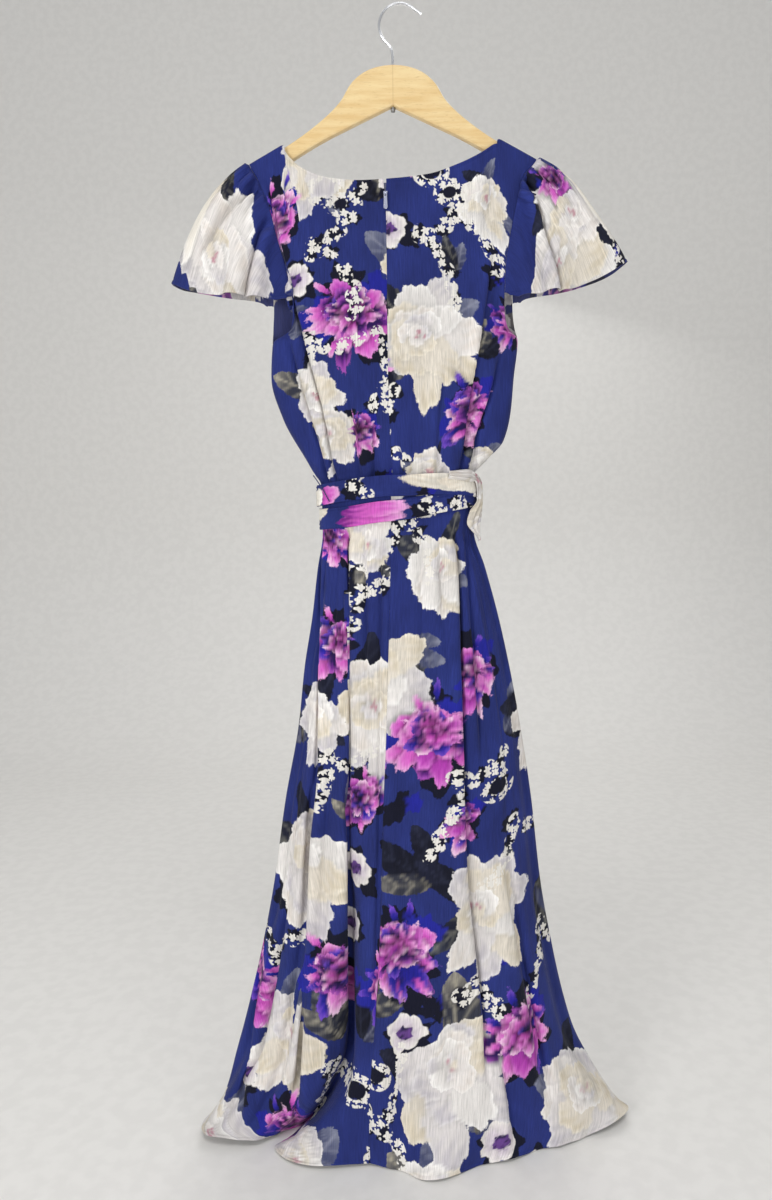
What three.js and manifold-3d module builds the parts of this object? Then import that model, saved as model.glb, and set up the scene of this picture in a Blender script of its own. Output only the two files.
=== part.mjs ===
// Flutter sleeve dress of thin crinkled cloth, hanging by its shoulders on a wooden hanger.
//
// Millimetres, +Z up. The origin is the place where the hook rests on a rail: the inside of the
// top of its bend. The garment's back faces -Y and its front faces +Y, so +X is the right-hand
// side for somebody who looks at the back. The hem just reaches the floor, 1530 mm below.
//
// Every cloth piece is a thin wall through a grid of points on its middle surface. The surfaces
// come from short tables by height, and folds are pressed into them.

import * as THREE from 'three';
import { mergeVertices } from 'three/addons/utils/BufferGeometryUtils.js';
import Module from 'manifold-3d';

// ---------------------------------------------------------------- driving dimensions

const CLOTH = 2; // thickness of every cloth wall
const SEAM = 0.3; // clear gap between neighbouring pieces
const HANG_OFFSET = 10; // the hook's resting point is this far right of the hanger's middle
const WAIST_Z = -634; // waist seam, under the sash
const HEM_Z = -1528.5; // middle of the hem's wall where it lies on the floor
const SPILL_Z = -1395; // below this height the skirt leans out towards its hem on the floor

const NECK_LEFT_X = -144.2; // inner end of the left shoulder seam
const NECK_RIGHT_X = 136.7; // inner end of the right shoulder seam
const SHOULDER = { x: 135, z: -168, slope: 0.54 }; // line of the shoulder seams, on the hanger
const SHOULDER_ROUND = 7; // height over which the cloth rounds over the hanger's arm
const SHOULDER_ROUND_POWER = 2.5;

const HANGER_THICKNESS = 12;
const HANGER_ROUND = 3; // rounding of the wood's long edges
const HOOK_WIRE = 1.75; // radius of the hook's wire
const HOOK_BEND = 27; // radius of the hook's bend, to the middle of the wire

const SQUARENESS = 2.4; // power of the garment's rounded sections, where 2 is an ellipse

const SASH_HEIGHT = 28;
const SASH_THICKNESS = 3;

// ---------------------------------------------------------------- materials

const cloth = (color) => new THREE.MeshStandardMaterial({ color, roughness: 0.8, metalness: 0 });
const NAVY = 0x32407a;
const CREAM = 0xd9d2c7;
const MAGENTA = 0xb35ba4;
const steel = new THREE.MeshStandardMaterial({ color: 0xc9ccd0, roughness: 0.2, metalness: 1 });
const enamel = new THREE.MeshStandardMaterial({ color: 0x2b356b, roughness: 0.4, metalness: 0.2 });
const tape = new THREE.MeshStandardMaterial({ color: 0x252c58, roughness: 0.9, metalness: 0 });
const maple = new THREE.MeshStandardMaterial({ color: 0xe6cb96, roughness: 0.45, metalness: 0 });

// ---------------------------------------------------------------- tables

// Back bodice by height: its outer edges (armholes, then side seams) left and right of the
// middle, how far its middle stands behind the hanger's plane, and how far its edges do.
const BACK_BODICE = [
  { z: -172, left: 193, right: 190, depth: 10, edge: 9 },
  { z: -197, left: 190, right: 187, depth: 12, edge: 9 },
  { z: -221, left: 178, right: 168, depth: 15, edge: 10 },
  { z: -250, left: 166, right: 161, depth: 19, edge: 12 },
  { z: -297, left: 154, right: 151, depth: 26, edge: 15 },
  { z: -340, left: 142, right: 145, depth: 31, edge: 17 },
  { z: -385, left: 136, right: 144, depth: 35, edge: 16 },
  { z: -409, left: 139, right: 148, depth: 37, edge: 10 },
  { z: -428, left: 166, right: 164, depth: 39, edge: 0 },
  { z: -474, left: 169, right: 159, depth: 43, edge: 0 },
  { z: -526, left: 155, right: 154, depth: 47, edge: 0 },
  { z: -560, left: 137, right: 145, depth: 49, edge: 0 },
  { z: -585, left: 123, right: 123, depth: 47, edge: 0 },
  { z: -596, left: 117, right: 112, depth: 42, edge: 0 },
  { z: -604, left: 112, right: 105, depth: 35.5, edge: 0 },
  { z: -615, left: 105, right: 104, depth: 34, edge: 0 },
  { z: WAIST_Z, left: 104, right: 104, depth: 34, edge: 0 },
];

// Half width by height of the bodice without its armholes' scoop, which bends only the cloth near
// the edges.
const BODICE_EVEN = [
  { z: -172, width: 186 },
  { z: -300, width: 160 },
  { z: -428, width: 165 },
  { z: -474, width: 164 },
  { z: -526, width: 154.5 },
  { z: -585, width: 123 },
  { z: -604, width: 108 },
  { z: WAIST_Z, width: 104 },
];
const SCOOP_POWER = 5; // how closely the armhole's scoop keeps to the edge

// Front bodice by height, in the columns of the back. Its armholes are cut less deep.
const FRONT_BODICE = [
  { z: -172, left: 193, right: 190, depth: 10, edge: 9 },
  { z: -197, left: 190, right: 187, depth: 12, edge: 9 },
  { z: -221, left: 180, right: 171, depth: 14, edge: 10 },
  { z: -260, left: 169, right: 163, depth: 18, edge: 12 },
  { z: -320, left: 164, right: 158, depth: 24, edge: 14 },
  { z: -385, left: 165, right: 159, depth: 29, edge: 12 },
  { z: -409, left: 166, right: 161, depth: 31, edge: 8 },
  { z: -428, left: 166, right: 164, depth: 32, edge: 0 },
  { z: -474, left: 169, right: 159, depth: 34, edge: 0 },
  { z: -526, left: 155, right: 154, depth: 36, edge: 0 },
  { z: -585, left: 123, right: 123, depth: 37, edge: 0 },
  { z: -604, left: 112, right: 105, depth: 32, edge: 0 },
  { z: -615, left: 105, right: 104, depth: 31, edge: 0 },
  { z: WAIST_Z, left: 104, right: 104, depth: 31, edge: 0 },
];

// Height of the neck edge across the back and the front.
const BACK_NECK = [
  { x: NECK_LEFT_X, z: -173.5 },
  { x: -143.6, z: -178.5 },
  { x: -135, z: -193 },
  { x: -116, z: -208 },
  { x: -84, z: -219 },
  { x: -45, z: -223 },
  { x: 0, z: -221 },
  { x: 45, z: -216 },
  { x: 84, z: -203 },
  { x: 112, z: -190 },
  { x: 128, z: -180 },
  { x: 136, z: -174.5 },
  { x: NECK_RIGHT_X, z: -169.4 },
];
const FRONT_NECK = [
  { x: NECK_LEFT_X, z: -173.5 },
  { x: -143.6, z: -178.5 },
  { x: -130, z: -212 },
  { x: -100, z: -250 },
  { x: -55, z: -280 },
  { x: -3, z: -290 },
  { x: 50, z: -279 },
  { x: 95, z: -248 },
  { x: 124, z: -209 },
  { x: 136, z: -174.5 },
  { x: NECK_RIGHT_X, z: -169.4 },
];

// Skirt by height: its side seams left and right of the middle, and how far the middle of the
// back and of the front stand from the hanger's plane.
const SKIRT = [
  { z: WAIST_Z, left: 104, right: 104, back: 34, front: 31 },
  { z: -682, left: 104, right: 104, back: 34, front: 31 },
  { z: -732, left: 112, right: 119, back: 41, front: 33 },
  { z: -799, left: 121, right: 137, back: 49, front: 34 },
  { z: -867, left: 133, right: 152, back: 56, front: 35 },
  { z: -954, left: 144, right: 168, back: 65, front: 36 },
  { z: -1060, left: 165, right: 184, back: 75, front: 37 },
  { z: -1185, left: 185, right: 198, back: 86, front: 38 },
  { z: -1286, left: 206, right: 216, back: 94, front: 39 },
  { z: -1362, left: 225, right: 233, back: 100, front: 40 },
  { z: -1455, left: 249, right: 263, back: 106, front: 40 },
  { z: -1530, left: 262, right: 300, back: 108, front: 40 },
];

// Heights at which the lines of the skirt's folds are given, and the folds themselves: the place
// of each line round the back as a share of the quarter turn from the middle (-1 is the left side
// seam, 1 the right one), the depth and half width of its trough, and how much higher the cloth
// on its right stands than the cloth on its left, each at the waist and at the hem.
const SKIRT_LEVELS = { waist: -671, hip: -860, thigh: -1060, knee: -1250, hem: -1440 };
const SKIRT_FOLDS = [
  { name: 'side left', waist: -0.93, hip: -0.86, thigh: -0.8, knee: -0.76, hem: -0.72,
    depth: [1, 15], width: [5, 11], step: [0, 0] },
  { name: 'left', waist: -0.8, hip: -0.66, thigh: -0.58, knee: -0.55, hem: -0.53,
    depth: [3, 12], width: [5, 9], step: [2, 3] },
  { name: 'inner left', waist: -0.62, hip: -0.5, thigh: -0.43, knee: -0.42, hem: -0.42,
    depth: [0, 10], width: [6, 8], step: [0, 2] },
  { name: 'centre left', waist: -0.43, hip: -0.33, thigh: -0.28, knee: -0.26, hem: -0.25,
    depth: [3, 46], width: [4, 11], step: [5, 4] },
  { name: 'centre back', waist: -0.06, hip: -0.08, thigh: -0.1, knee: -0.11, hem: -0.13,
    depth: [1, 5], width: [4, 8], step: [0, 3] },
  { name: 'centre right', waist: 0.51, hip: 0.35, thigh: 0.31, knee: 0.3, hem: 0.3,
    depth: [4, 3], width: [4, 9], step: [-6, -5] },
  { name: 'side right', waist: 0.78, hip: 0.66, thigh: 0.6, knee: 0.56, hem: 0.55,
    depth: [1, 9], width: [6, 12], step: [-1, -7] },
];
const CENTRE_BACK = 1 + SKIRT_FOLDS.findIndex((fold) => fold.name === 'centre back');

// Hem of the back skirt on the floor, seen from above. "at" counts the lines from the left side
// seam (0) through the folds in their order to the right side seam (8).
const HEM = [
  { at: 0, x: -258, y: 0 },
  { at: 0.4, x: -291, y: -36 },
  { at: 0.9, x: -284, y: -66 },
  { at: 1.6, x: -250, y: -78 },
  { at: 2.4, x: -216, y: -80 },
  { at: 3.2, x: -190, y: -68 },
  { at: 3.6, x: -172, y: -50 },
  { at: 4, x: -150, y: -42 },
  { at: 4.2, x: -166, y: -66 },
  { at: 4.4, x: -184, y: -88 },
  { at: 4.6, x: -164, y: -112 },
  { at: 4.8, x: -118, y: -124 },
  { at: 5, x: -50, y: -119 },
  { at: 5.2, x: -16, y: -131 },
  { at: 5.45, x: 22, y: -149 },
  { at: 6, x: 100, y: -126 },
  { at: 6.5, x: 165, y: -104 },
  { at: 7, x: 222, y: -87 },
  { at: 7.4, x: 268, y: -68 },
  { at: 7.75, x: 322, y: -32 },
  { at: 8, x: 302, y: 0 },
];

// Folds of the back bodice: place of the line as a share of the half width at each height, and how
// far the cloth towards the middle stands proud of the cloth towards the side, over what width.
const BODICE_LEVELS = { top: -330, bust: -425, rib: -506, waist: -600 };
const BODICE_FOLDS = [
  { name: 'left', top: -0.93, bust: -0.72, rib: -0.52, waist: -0.5, step: 7, width: 5 },
  { name: 'right', top: 0.9, bust: 0.72, rib: 0.63, waist: 0.6, step: -6, width: 5 },
];
const BODICE_FOLD_START = { z: -300, fade: 90 }; // where the folds begin, and over what height
const BODICE_FOLD_END = { z: -607, fade: 25 };
const BODICE_FOLD_MARGIN = 0.15; // share of the half width over which they fade at the side

// Sleeve by place along the armhole, from its back end (0) over the shoulder (0.5) to its front
// end (1): height of the seam, then how far the hem hangs beyond it, the hem's distance from the
// hanger's plane and its height, and how far the cloth bulges outwards on its way.
const SLEEVE = [
  { at: 0, seam: -368, reach: 8, y: -21, z: -380, bulge: 1 },
  { at: 0.1, seam: -335, reach: 21, y: -29, z: -375, bulge: 6 },
  { at: 0.22, seam: -285, reach: 44, y: -38, z: -372, bulge: 14 },
  { at: 0.34, seam: -235, reach: 63, y: -40, z: -370, bulge: 26 },
  { at: 0.44, seam: -204, reach: 84, y: -32, z: -362, bulge: 38 },
  { at: 0.5, seam: -190, reach: 107, y: -8, z: -350, bulge: 46 },
  { at: 0.56, seam: -204, reach: 95, y: 16, z: -356, bulge: 38 },
  { at: 0.66, seam: -235, reach: 65, y: 28, z: -366, bulge: 24 },
  { at: 0.78, seam: -285, reach: 39, y: 29, z: -372, bulge: 12 },
  { at: 0.9, seam: -335, reach: 15, y: 22, z: -376, bulge: 5 },
  { at: 1, seam: -376, reach: 7, y: 15, z: -381, bulge: 1 },
];

// ---------------------------------------------------------------- interpolation

// Value of a column at a place, by monotone cubic interpolation between the table's rows.
function along(table, key, at, column) {
  const rows = table[0][key] < table[table.length - 1][key] ? table : [...table].reverse();
  if (at <= rows[0][key]) return rows[0][column];
  const last = rows.length - 1;
  if (at >= rows[last][key]) return rows[last][column];
  let i = 0;
  while (rows[i + 1][key] < at) i += 1;
  const span = (k) => rows[k + 1][key] - rows[k][key];
  const slope = (k) => (rows[k + 1][column] - rows[k][column]) / span(k);
  const tangent = (k) => {
    if (k === 0) return slope(0);
    if (k === last) return slope(last - 1);
    const [a, b] = [slope(k - 1), slope(k)];
    return a * b <= 0 ? 0 : (2 * a * b) / (a + b);
  };
  const h = span(i);
  const t = (at - rows[i][key]) / h;
  const rise = (rows[i + 1][column] - rows[i][column]) * t * t * (3 - 2 * t);
  const bend = h * t * (1 - t) * (tangent(i) * (1 - t) - tangent(i + 1) * t);
  return rows[i][column] + rise + bend;
}

// Level of a rounded section at a share of its half width: 1 in the middle, 0 at its sides.
const section = (share) => Math.max(0, 1 - Math.abs(share) ** SQUARENESS) ** (1 / SQUARENESS);
const mix = (a, b, t) => a + (b - a) * t;
const clamp01 = (t) => Math.min(1, Math.max(0, t));
const smooth = (t) => clamp01(t) ** 2 * (3 - 2 * clamp01(t));

// Value of a fold's place at a height, from its columns named after the levels.
function foldPlace(fold, levels, z) {
  const rows = Object.keys(levels).map((name) => ({ z: levels[name], place: fold[name] }));
  return along(rows, 'z', z, 'place');
}

// ---------------------------------------------------------------- solids

// Closed mesh from vertices and triangles, turned so that its faces point out.
function solid(name, material, points, triangles) {
  const positions = points.flatMap((p) => [p.x, p.y, p.z]);
  const volume = triangles.reduce((sum, [a, b, c]) => {
    const normal = new THREE.Vector3().crossVectors(points[b], points[c]);
    return sum + points[a].dot(normal);
  }, 0);
  const facing = volume < 0 ? triangles.map(([a, b, c]) => [a, c, b]) : triangles;
  const geometry = new THREE.BufferGeometry();
  geometry.setAttribute('position', new THREE.Float32BufferAttribute(positions, 3));
  geometry.setIndex(facing.flat());
  geometry.computeVertexNormals();
  return named(name, material, geometry);
}

function named(name, material, geometry) {
  const mesh = new THREE.Mesh(geometry, material);
  mesh.name = name;
  return mesh;
}

// Direction across a sheet at each point of its grid. Where back and front meet, on the plane
// y = 0, it lies in that plane, so that both edges are flat and face each other.
function sheetNormals(grid) {
  const clamp = (value, count) => Math.min(count - 1, Math.max(0, value));
  const difference = (a, b) => new THREE.Vector3().subVectors(a, b);
  return grid.map((row, i) =>
    row.map((point, j) => {
      const [above, below] = [grid[clamp(i + 1, grid.length)], grid[clamp(i - 1, grid.length)]];
      const across = difference(row[clamp(j + 1, row.length)], row[clamp(j - 1, row.length)]);
      const normal = across.cross(difference(above[j], below[j])).normalize();
      if (Math.abs(point.y) < SEAM) normal.setY(0).normalize();
      return normal;
    }),
  );
}

// Wall of even thickness about a grid of points, rows of equal length.
function wall(name, material, grid, normals = sheetNormals(grid), thickness = CLOTH) {
  const [rows, columns] = [grid.length, grid[0].length];
  const sides = [1, -1].flatMap((side) =>
    grid.flatMap((row, i) =>
      row.map((point, j) => point.clone().addScaledVector(normals[i][j], (side * thickness) / 2)),
    ),
  );
  const at = (side, i, j) => side * rows * columns + i * columns + j;
  const triangles = [];
  const quad = (a, b, c, d) => triangles.push([a, b, c], [a, c, d]);
  for (let i = 0; i < rows - 1; i += 1) {
    for (let j = 0; j < columns - 1; j += 1) {
      quad(at(0, i, j), at(0, i, j + 1), at(0, i + 1, j + 1), at(0, i + 1, j));
      quad(at(1, i, j), at(1, i + 1, j), at(1, i + 1, j + 1), at(1, i, j + 1));
    }
    quad(at(0, i + 1, 0), at(1, i + 1, 0), at(1, i, 0), at(0, i, 0));
    const end = columns - 1;
    quad(at(0, i, end), at(1, i, end), at(1, i + 1, end), at(0, i + 1, end));
  }
  for (let j = 0; j < columns - 1; j += 1) {
    quad(at(0, 0, j), at(1, 0, j), at(1, 0, j + 1), at(0, 0, j + 1));
    const top = rows - 1;
    quad(at(0, top, j + 1), at(1, top, j + 1), at(1, top, j), at(0, top, j));
  }
  return solid(name, material, sides, triangles);
}

// Band through a closed loop of rings with equally many points.
function loft(name, material, rings) {
  const sides = rings[0].length;
  const at = (i, j) => (i % rings.length) * sides + (j % sides);
  const triangles = [];
  for (let i = 0; i < rings.length; i += 1) {
    for (let j = 0; j < sides; j += 1) {
      triangles.push([at(i, j), at(i, j + 1), at(i + 1, j + 1)]);
      triangles.push([at(i, j), at(i + 1, j + 1), at(i + 1, j)]);
    }
  }
  return solid(name, material, rings.flat(), triangles);
}

// Two walls made from one grid, which part at a column: "gap" gives each edge's distance from it
// by row.
function partedWalls(names, material, grid, column, gap) {
  const normals = sheetNormals(grid);
  const drawn = (row, i, inner) => {
    const step = new THREE.Vector3().subVectors(row[inner], row[column]).normalize();
    return row[column].clone().addScaledVector(step, gap(i));
  };
  const left = grid.map((row, i) => [...row.slice(0, column), drawn(row, i, column - 1)]);
  const right = grid.map((row, i) => [drawn(row, i, column + 1), ...row.slice(column + 1)]);
  return [
    wall(names[0], material, left, normals.map((row) => row.slice(0, column + 1))),
    wall(names[1], material, right, normals.map((row) => row.slice(column))),
  ];
}

// ---------------------------------------------------------------- bodice

const OPEN_EDGE = 7; // an armhole edge this far from the hanger's plane lies flat

// Height of the shoulder seam, or of the hanger's arm in line with it inside the neck.
function shoulderZ(x) {
  return SHOULDER.z - (Math.abs(x) - SHOULDER.x) * SHOULDER.slope;
}

// Place across a panel, at a share of its half width.
function bodiceX(table, share, z) {
  const edge = along(table, 'z', z, share < 0 ? 'left' : 'right');
  const even = along(BODICE_EVEN, 'z', z, 'width');
  return share * even + Math.sign(share) * (edge - even) * Math.abs(share) ** SCOOP_POWER;
}

// Middle surface of a bodice panel, at a share of its half width and a height. "facing" is -1
// for the back and 1 for the front.
function bodicePoint(table, facing, share, z) {
  const x = bodiceX(table, share, z);
  const edge = along(table, 'z', z, 'edge');
  const depth = along(table, 'z', z, 'depth');
  const power = mix(1 / SQUARENESS, 1, smooth(edge / OPEN_EDGE));
  const crown = (1 - Math.abs(share) ** SQUARENESS) ** power;
  const folded = facing < 0 ? bodiceFolds(share, z) : 0;
  const below = clamp01((shoulderZ(x) - z) / SHOULDER_ROUND);
  const round = (1 - (1 - below) ** SHOULDER_ROUND_POWER) ** (1 / SHOULDER_ROUND_POWER);
  return new THREE.Vector3(x, facing * (mix(edge, depth, crown) + folded) * round, z);
}

// How far the folds of the back bodice draw the cloth in.
function bodiceFolds(share, z) {
  const start = smooth((BODICE_FOLD_START.z - z) / BODICE_FOLD_START.fade);
  const end = smooth((z - BODICE_FOLD_END.z) / BODICE_FOLD_END.fade);
  const fade = start * end * smooth((1 - Math.abs(share)) / BODICE_FOLD_MARGIN);
  const width = along(BODICE_EVEN, 'z', z, 'width');
  return BODICE_FOLDS.reduce((sum, fold) => {
    const beyond = ((share - foldPlace(fold, BODICE_LEVELS, z)) * width) / fold.width;
    const level = 0.5 + 0.5 * Math.tanh(beyond);
    return sum + fold.step * fade * (fold.step > 0 ? level - 1 : level);
  }, 0);
}

// Height at which a column of a panel ends: on the neck edge or on the shoulder seam. The column's
// place and its height depend on each other, so they settle in a few passes.
function bodiceTop(table, neck, share) {
  const passes = 12;
  let z = NECK_GUESS_Z;
  for (let pass = 0; pass < passes; pass += 1) {
    const x = bodiceX(table, share, z);
    const inNeck = x > NECK_LEFT_X && x < NECK_RIGHT_X;
    z = inNeck ? along(neck, 'x', x, 'z') : shoulderZ(x);
  }
  return z;
}
const NECK_GUESS_Z = -200;

// Rows of a panel above the armhole's lowest point: some on the way up, as shares of it, and then
// closer ones at these distances below the neck or shoulder edge.
const ON_THE_WAY = [0.25, 0.5, 0.78];
const UNDER_EDGE = [26, 12, 5, 1.6, 0.35, 0];

// Grid of a panel: a column for each share, from the waist seam up to its neck or shoulder edge.
function bodiceGrid(table, neck, facing, shares, heights) {
  const last = heights[heights.length - 1];
  const rows = [
    ...heights.map((z) => () => z),
    ...ON_THE_WAY.map((share) => (top) => mix(last, top - UNDER_EDGE[0], share)),
    ...UNDER_EDGE.map((down) => (top) => top - down),
  ];
  const tops = shares.map((share) => bodiceTop(table, neck, share));
  return rows.map((height, i) =>
    shares.map((share, j) => {
      const p = bodicePoint(table, facing, share, height(tops[j]));
      return new THREE.Vector3(p.x, p.y + (facing * SEAM) / 2, p.z + (i === 0 ? SEAM / 2 : 0));
    }),
  );
}

const NECK_END = [0.7444, 0.7461, 0.7478, 0.75]; // shares about the neck's corner on the shoulder
const BACK_CENTRE_SHIFT = -0.07; // the centre back seam hangs a little left of the middle
const ZIP_GAP = { half: 1.7, rows: 3 }; // half the opening above the zip's slider, and its taper

// Shares of the half width on both sides of the centre back seam.
function mirrored(half) {
  const shares = [...half.slice(1).map((share) => -share).reverse(), ...half];
  return shares.map((share) => share + BACK_CENTRE_SHIFT * (1 - Math.abs(share)));
}

function bodiceBack() {
  const half = [0, 0.15, 0.3, 0.42, 0.5, 0.58, 0.66, ...NECK_END, 0.82, 0.91, 0.97, 1];
  const heights = [WAIST_Z, -618, -605, -596, -580, -545, -500, -455, -428, -412, -390, -366];
  const grid = bodiceGrid(BACK_BODICE, BACK_NECK, -1, mirrored(half), heights);
  const names = ['bodice_back_left', 'bodice_back_right'];
  const open = grid.length - 1 - UNDER_EDGE.length;
  const gap = (i) => mix(SEAM / 2, ZIP_GAP.half, smooth((i - open) / ZIP_GAP.rows));
  return partedWalls(names, cloth(NAVY), grid, half.length - 1, gap);
}

function bodiceFront() {
  const shares = mirrored([0, 0.2, 0.4, 0.6, ...NECK_END, 0.88, 1]);
  const heights = [WAIST_Z, -618, -604, -585, -530, -474, -428, -405, -350];
  const grid = bodiceGrid(FRONT_BODICE, FRONT_NECK, 1, shares, heights);
  return wall('bodice_front', cloth(CREAM), grid);
}

// ---------------------------------------------------------------- skirt

const SKIRT_SIDE = 0.08; // share of the quarter turn over which folds fade at the side seams
const SKIRT_FOLD_START = 40; // height over which folds begin under the sash
const FRONT_RIPPLE = { waves: 15, start: 1, waist: 0.5, hem: 4.5 }; // soft folds of the front
const FRONT_FLARE = { hem: 0.7, even: 0.3, power: 6 }; // how the front's hem runs out to its sides
const SPILL_POWER = 2.2; // how late the skirt leans out towards its hem

// Middle surface of the hanging skirt: "turn" is -1 at the left side seam, 0 in the middle and
// 1 at the right side seam. Folds push the point along the surface's normal.
function hangingPoint(facing, turn, z) {
  const width = along(SKIRT, 'z', z, turn < 0 ? 'left' : 'right');
  const depth = along(SKIRT, 'z', z, facing < 0 ? 'back' : 'front');
  const at = (place) => {
    const share = Math.sin((place * Math.PI) / 2);
    return new THREE.Vector3(width * share, facing * depth * section(share), z);
  };
  const down = clamp01((SKIRT_LEVELS.waist - z) / (SKIRT_LEVELS.waist - SKIRT_LEVELS.hem));
  const quarter = (Math.PI / 2) * Math.hypot(width, depth) * Math.SQRT1_2;
  const push = facing < 0 ? backFolds(turn, z, down, quarter) : frontRipple(turn, down);
  const fade = smooth((1 - Math.abs(turn)) / SKIRT_SIDE)
    * smooth((SKIRT_LEVELS.waist - z) / SKIRT_FOLD_START);
  const [before, after] = [at(turn - 0.004), at(turn + 0.004)];
  const normal = new THREE.Vector3(after.y - before.y, before.x - after.x, 0).normalize();
  return at(turn).addScaledVector(normal, -facing * push * fade);
}

// How far the folds of the back skirt push the cloth out (or in, where negative).
function backFolds(turn, z, down, quarter) {
  return SKIRT_FOLDS.reduce((sum, fold) => {
    const distance = (turn - foldPlace(fold, SKIRT_LEVELS, z)) * quarter;
    const across = distance / mix(fold.width[0], fold.width[1], down);
    const step = mix(fold.step[0], fold.step[1], down);
    const trough = mix(fold.depth[0], fold.depth[1], down ** 1.5) * Math.exp(-across * across);
    return sum - trough + step * (0.5 + 0.5 * Math.tanh(across)) - Math.max(step, 0);
  }, 0);
}

function frontRipple(turn, down) {
  const height = mix(FRONT_RIPPLE.waist, FRONT_RIPPLE.hem, down);
  return -height * (1 + Math.sin(turn * FRONT_RIPPLE.waves + FRONT_RIPPLE.start));
}

// Places of the lines that the columns of the back skirt follow at a height.
function lineTurn(line, z) {
  if (line === 0) return -1;
  if (line > SKIRT_FOLDS.length) return 1;
  return foldPlace(SKIRT_FOLDS[line - 1], SKIRT_LEVELS, z);
}

// Middle surface of the back skirt, at a count of fold lines from the left side seam.
function skirtBackPoint(at, z) {
  const line = Math.min(Math.floor(at), SKIRT_FOLDS.length);
  const turn = mix(lineTurn(line, z), lineTurn(line + 1, z), at - line);
  const hem = { x: along(HEM, 'at', at, 'x'), y: along(HEM, 'at', at, 'y') };
  return spilled(hangingPoint(-1, turn, z), z, hem);
}

// Middle surface of the front skirt: its hem runs out to meet the back's at the side seams.
function skirtFrontPoint(turn, z) {
  const side = turn < 0 ? HEM[0] : HEM[HEM.length - 1];
  const hang = hangingPoint(1, turn, HEM_Z);
  const share = Math.abs(turn) ** FRONT_FLARE.power;
  const flare = FRONT_FLARE.hem * share + FRONT_FLARE.even * turn * turn;
  const hem = { x: mix(hang.x, side.x * Math.abs(turn), flare), y: mix(hang.y, side.y, share) };
  return spilled(hangingPoint(1, turn, z), z, hem);
}

// The lowest stretch of the skirt curves out to its hem on the floor.
function spilled(point, z, hem) {
  const lean = clamp01((SPILL_Z - z) / (SPILL_Z - HEM_Z)) ** SPILL_POWER;
  return new THREE.Vector3(mix(point.x, hem.x, lean), mix(point.y, hem.y, lean), z);
}

const SKIRT_HEIGHTS = [WAIST_Z, -660, -684, -720, -790, -870, -960, -1060, -1160, -1250, -1330,
  -1395, -1445, -1482, -1508, HEM_Z];
const FRONT_HEIGHTS = SKIRT_HEIGHTS.filter((z, i) => i % 2 === 1 || i === 0 || i === 2);

// Shares of the way from one fold line to the next, closer together beside the lines.
function easedSteps(count) {
  const easing = 0.45;
  return Array.from({ length: count }, (_, i) => {
    const t = i / count;
    return mix(t, 0.5 - 0.5 * Math.cos(Math.PI * t), easing);
  });
}

// Skirt panel's grid, half a seam gap below the waist and off the plane of the side seams.
function apart(grid, facing) {
  return grid.map((row, i) =>
    row.map((p) => new THREE.Vector3(p.x, p.y + (facing * SEAM) / 2, p.z - (i === 0 ? SEAM / 2 : 0))),
  );
}

function skirtBack() {
  const steps = [4, 4, 4, 6, 7, 7, 5, 6]; // columns between one fold line and the next
  const inner = steps.flatMap((count, line) => easedSteps(count).map((t) => line + t));
  const columns = [...inner, steps.length];
  const grid = SKIRT_HEIGHTS.map((z) => columns.map((at) => skirtBackPoint(at, z)));
  const names = ['skirt_back_left', 'skirt_back_right'];
  const seam = columns.indexOf(CENTRE_BACK);
  return partedWalls(names, cloth(NAVY), apart(grid, -1), seam, () => SEAM / 2);
}

function skirtFront() {
  const count = 18;
  const turns = Array.from({ length: count + 1 }, (_, i) => -1 + (2 * i) / count);
  const grid = FRONT_HEIGHTS.map((z) => turns.map((turn) => skirtFrontPoint(turn, z)));
  return wall('skirt_front', cloth(CREAM), apart(grid, 1));
}

// ---------------------------------------------------------------- sleeves

const SLEEVE_GAP = 1.55; // from the armhole's edge to the sleeve's, at the middle of the walls
const BULGE = { start: 0.35, out: 0.55, up: 0.75, apart: 0.12 }; // where and how the bulge pushes
const FLUTES = { count: 4.5, height: 5 }; // soft waves of the sleeve's hem
const GATHERS = { count: 13, height: 4, place: 0.45, width: 0.22 }; // fine folds at the shoulder

const shoulderTip = (side) => bodiceTop(BACK_BODICE, BACK_NECK, side);

// Middle surface of a sleeve: "at" runs along the armhole and "out" from the seam to the hem.
function sleevePoint(side, at, out) {
  const value = (column) => along(SLEEVE, 'at', at, column);
  const facing = at < 0.5 ? -1 : 1;
  const table = facing < 0 ? BACK_BODICE : FRONT_BODICE;
  const seam = bodicePoint(table, facing, side, Math.min(value('seam'), shoulderTip(side) - 0.01));
  const next = bodicePoint(table, facing, side, seam.z - 2);
  const outward = new THREE.Vector3(side * 2, 0, Math.abs(next.x) - Math.abs(seam.x));
  const start = seam.clone().add(outward.setLength(SLEEVE_GAP));
  const hem = new THREE.Vector3(seam.x + side * value('reach'), value('y'), value('z'));
  const wave = Math.sin(at * 2 * Math.PI * FLUTES.count) * Math.sin(at * Math.PI);
  hem.y += facing * FLUTES.height * wave;
  const push = new THREE.Vector3(side * BULGE.out, facing * BULGE.apart, BULGE.up);
  const control = start.clone().lerp(hem, BULGE.start).addScaledVector(push, value('bulge'));
  const point = new THREE.Vector3()
    .addScaledVector(start, (1 - out) ** 2)
    .addScaledVector(control, 2 * out * (1 - out))
    .addScaledVector(hem, out ** 2);
  const gathered = smooth(1 - Math.abs(at - GATHERS.place) / GATHERS.width);
  const fade = Math.sin(Math.PI * out) * (1 - out);
  point.y += GATHERS.height * gathered * fade * Math.sin(at * 2 * Math.PI * GATHERS.count);
  return point;
}

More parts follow.
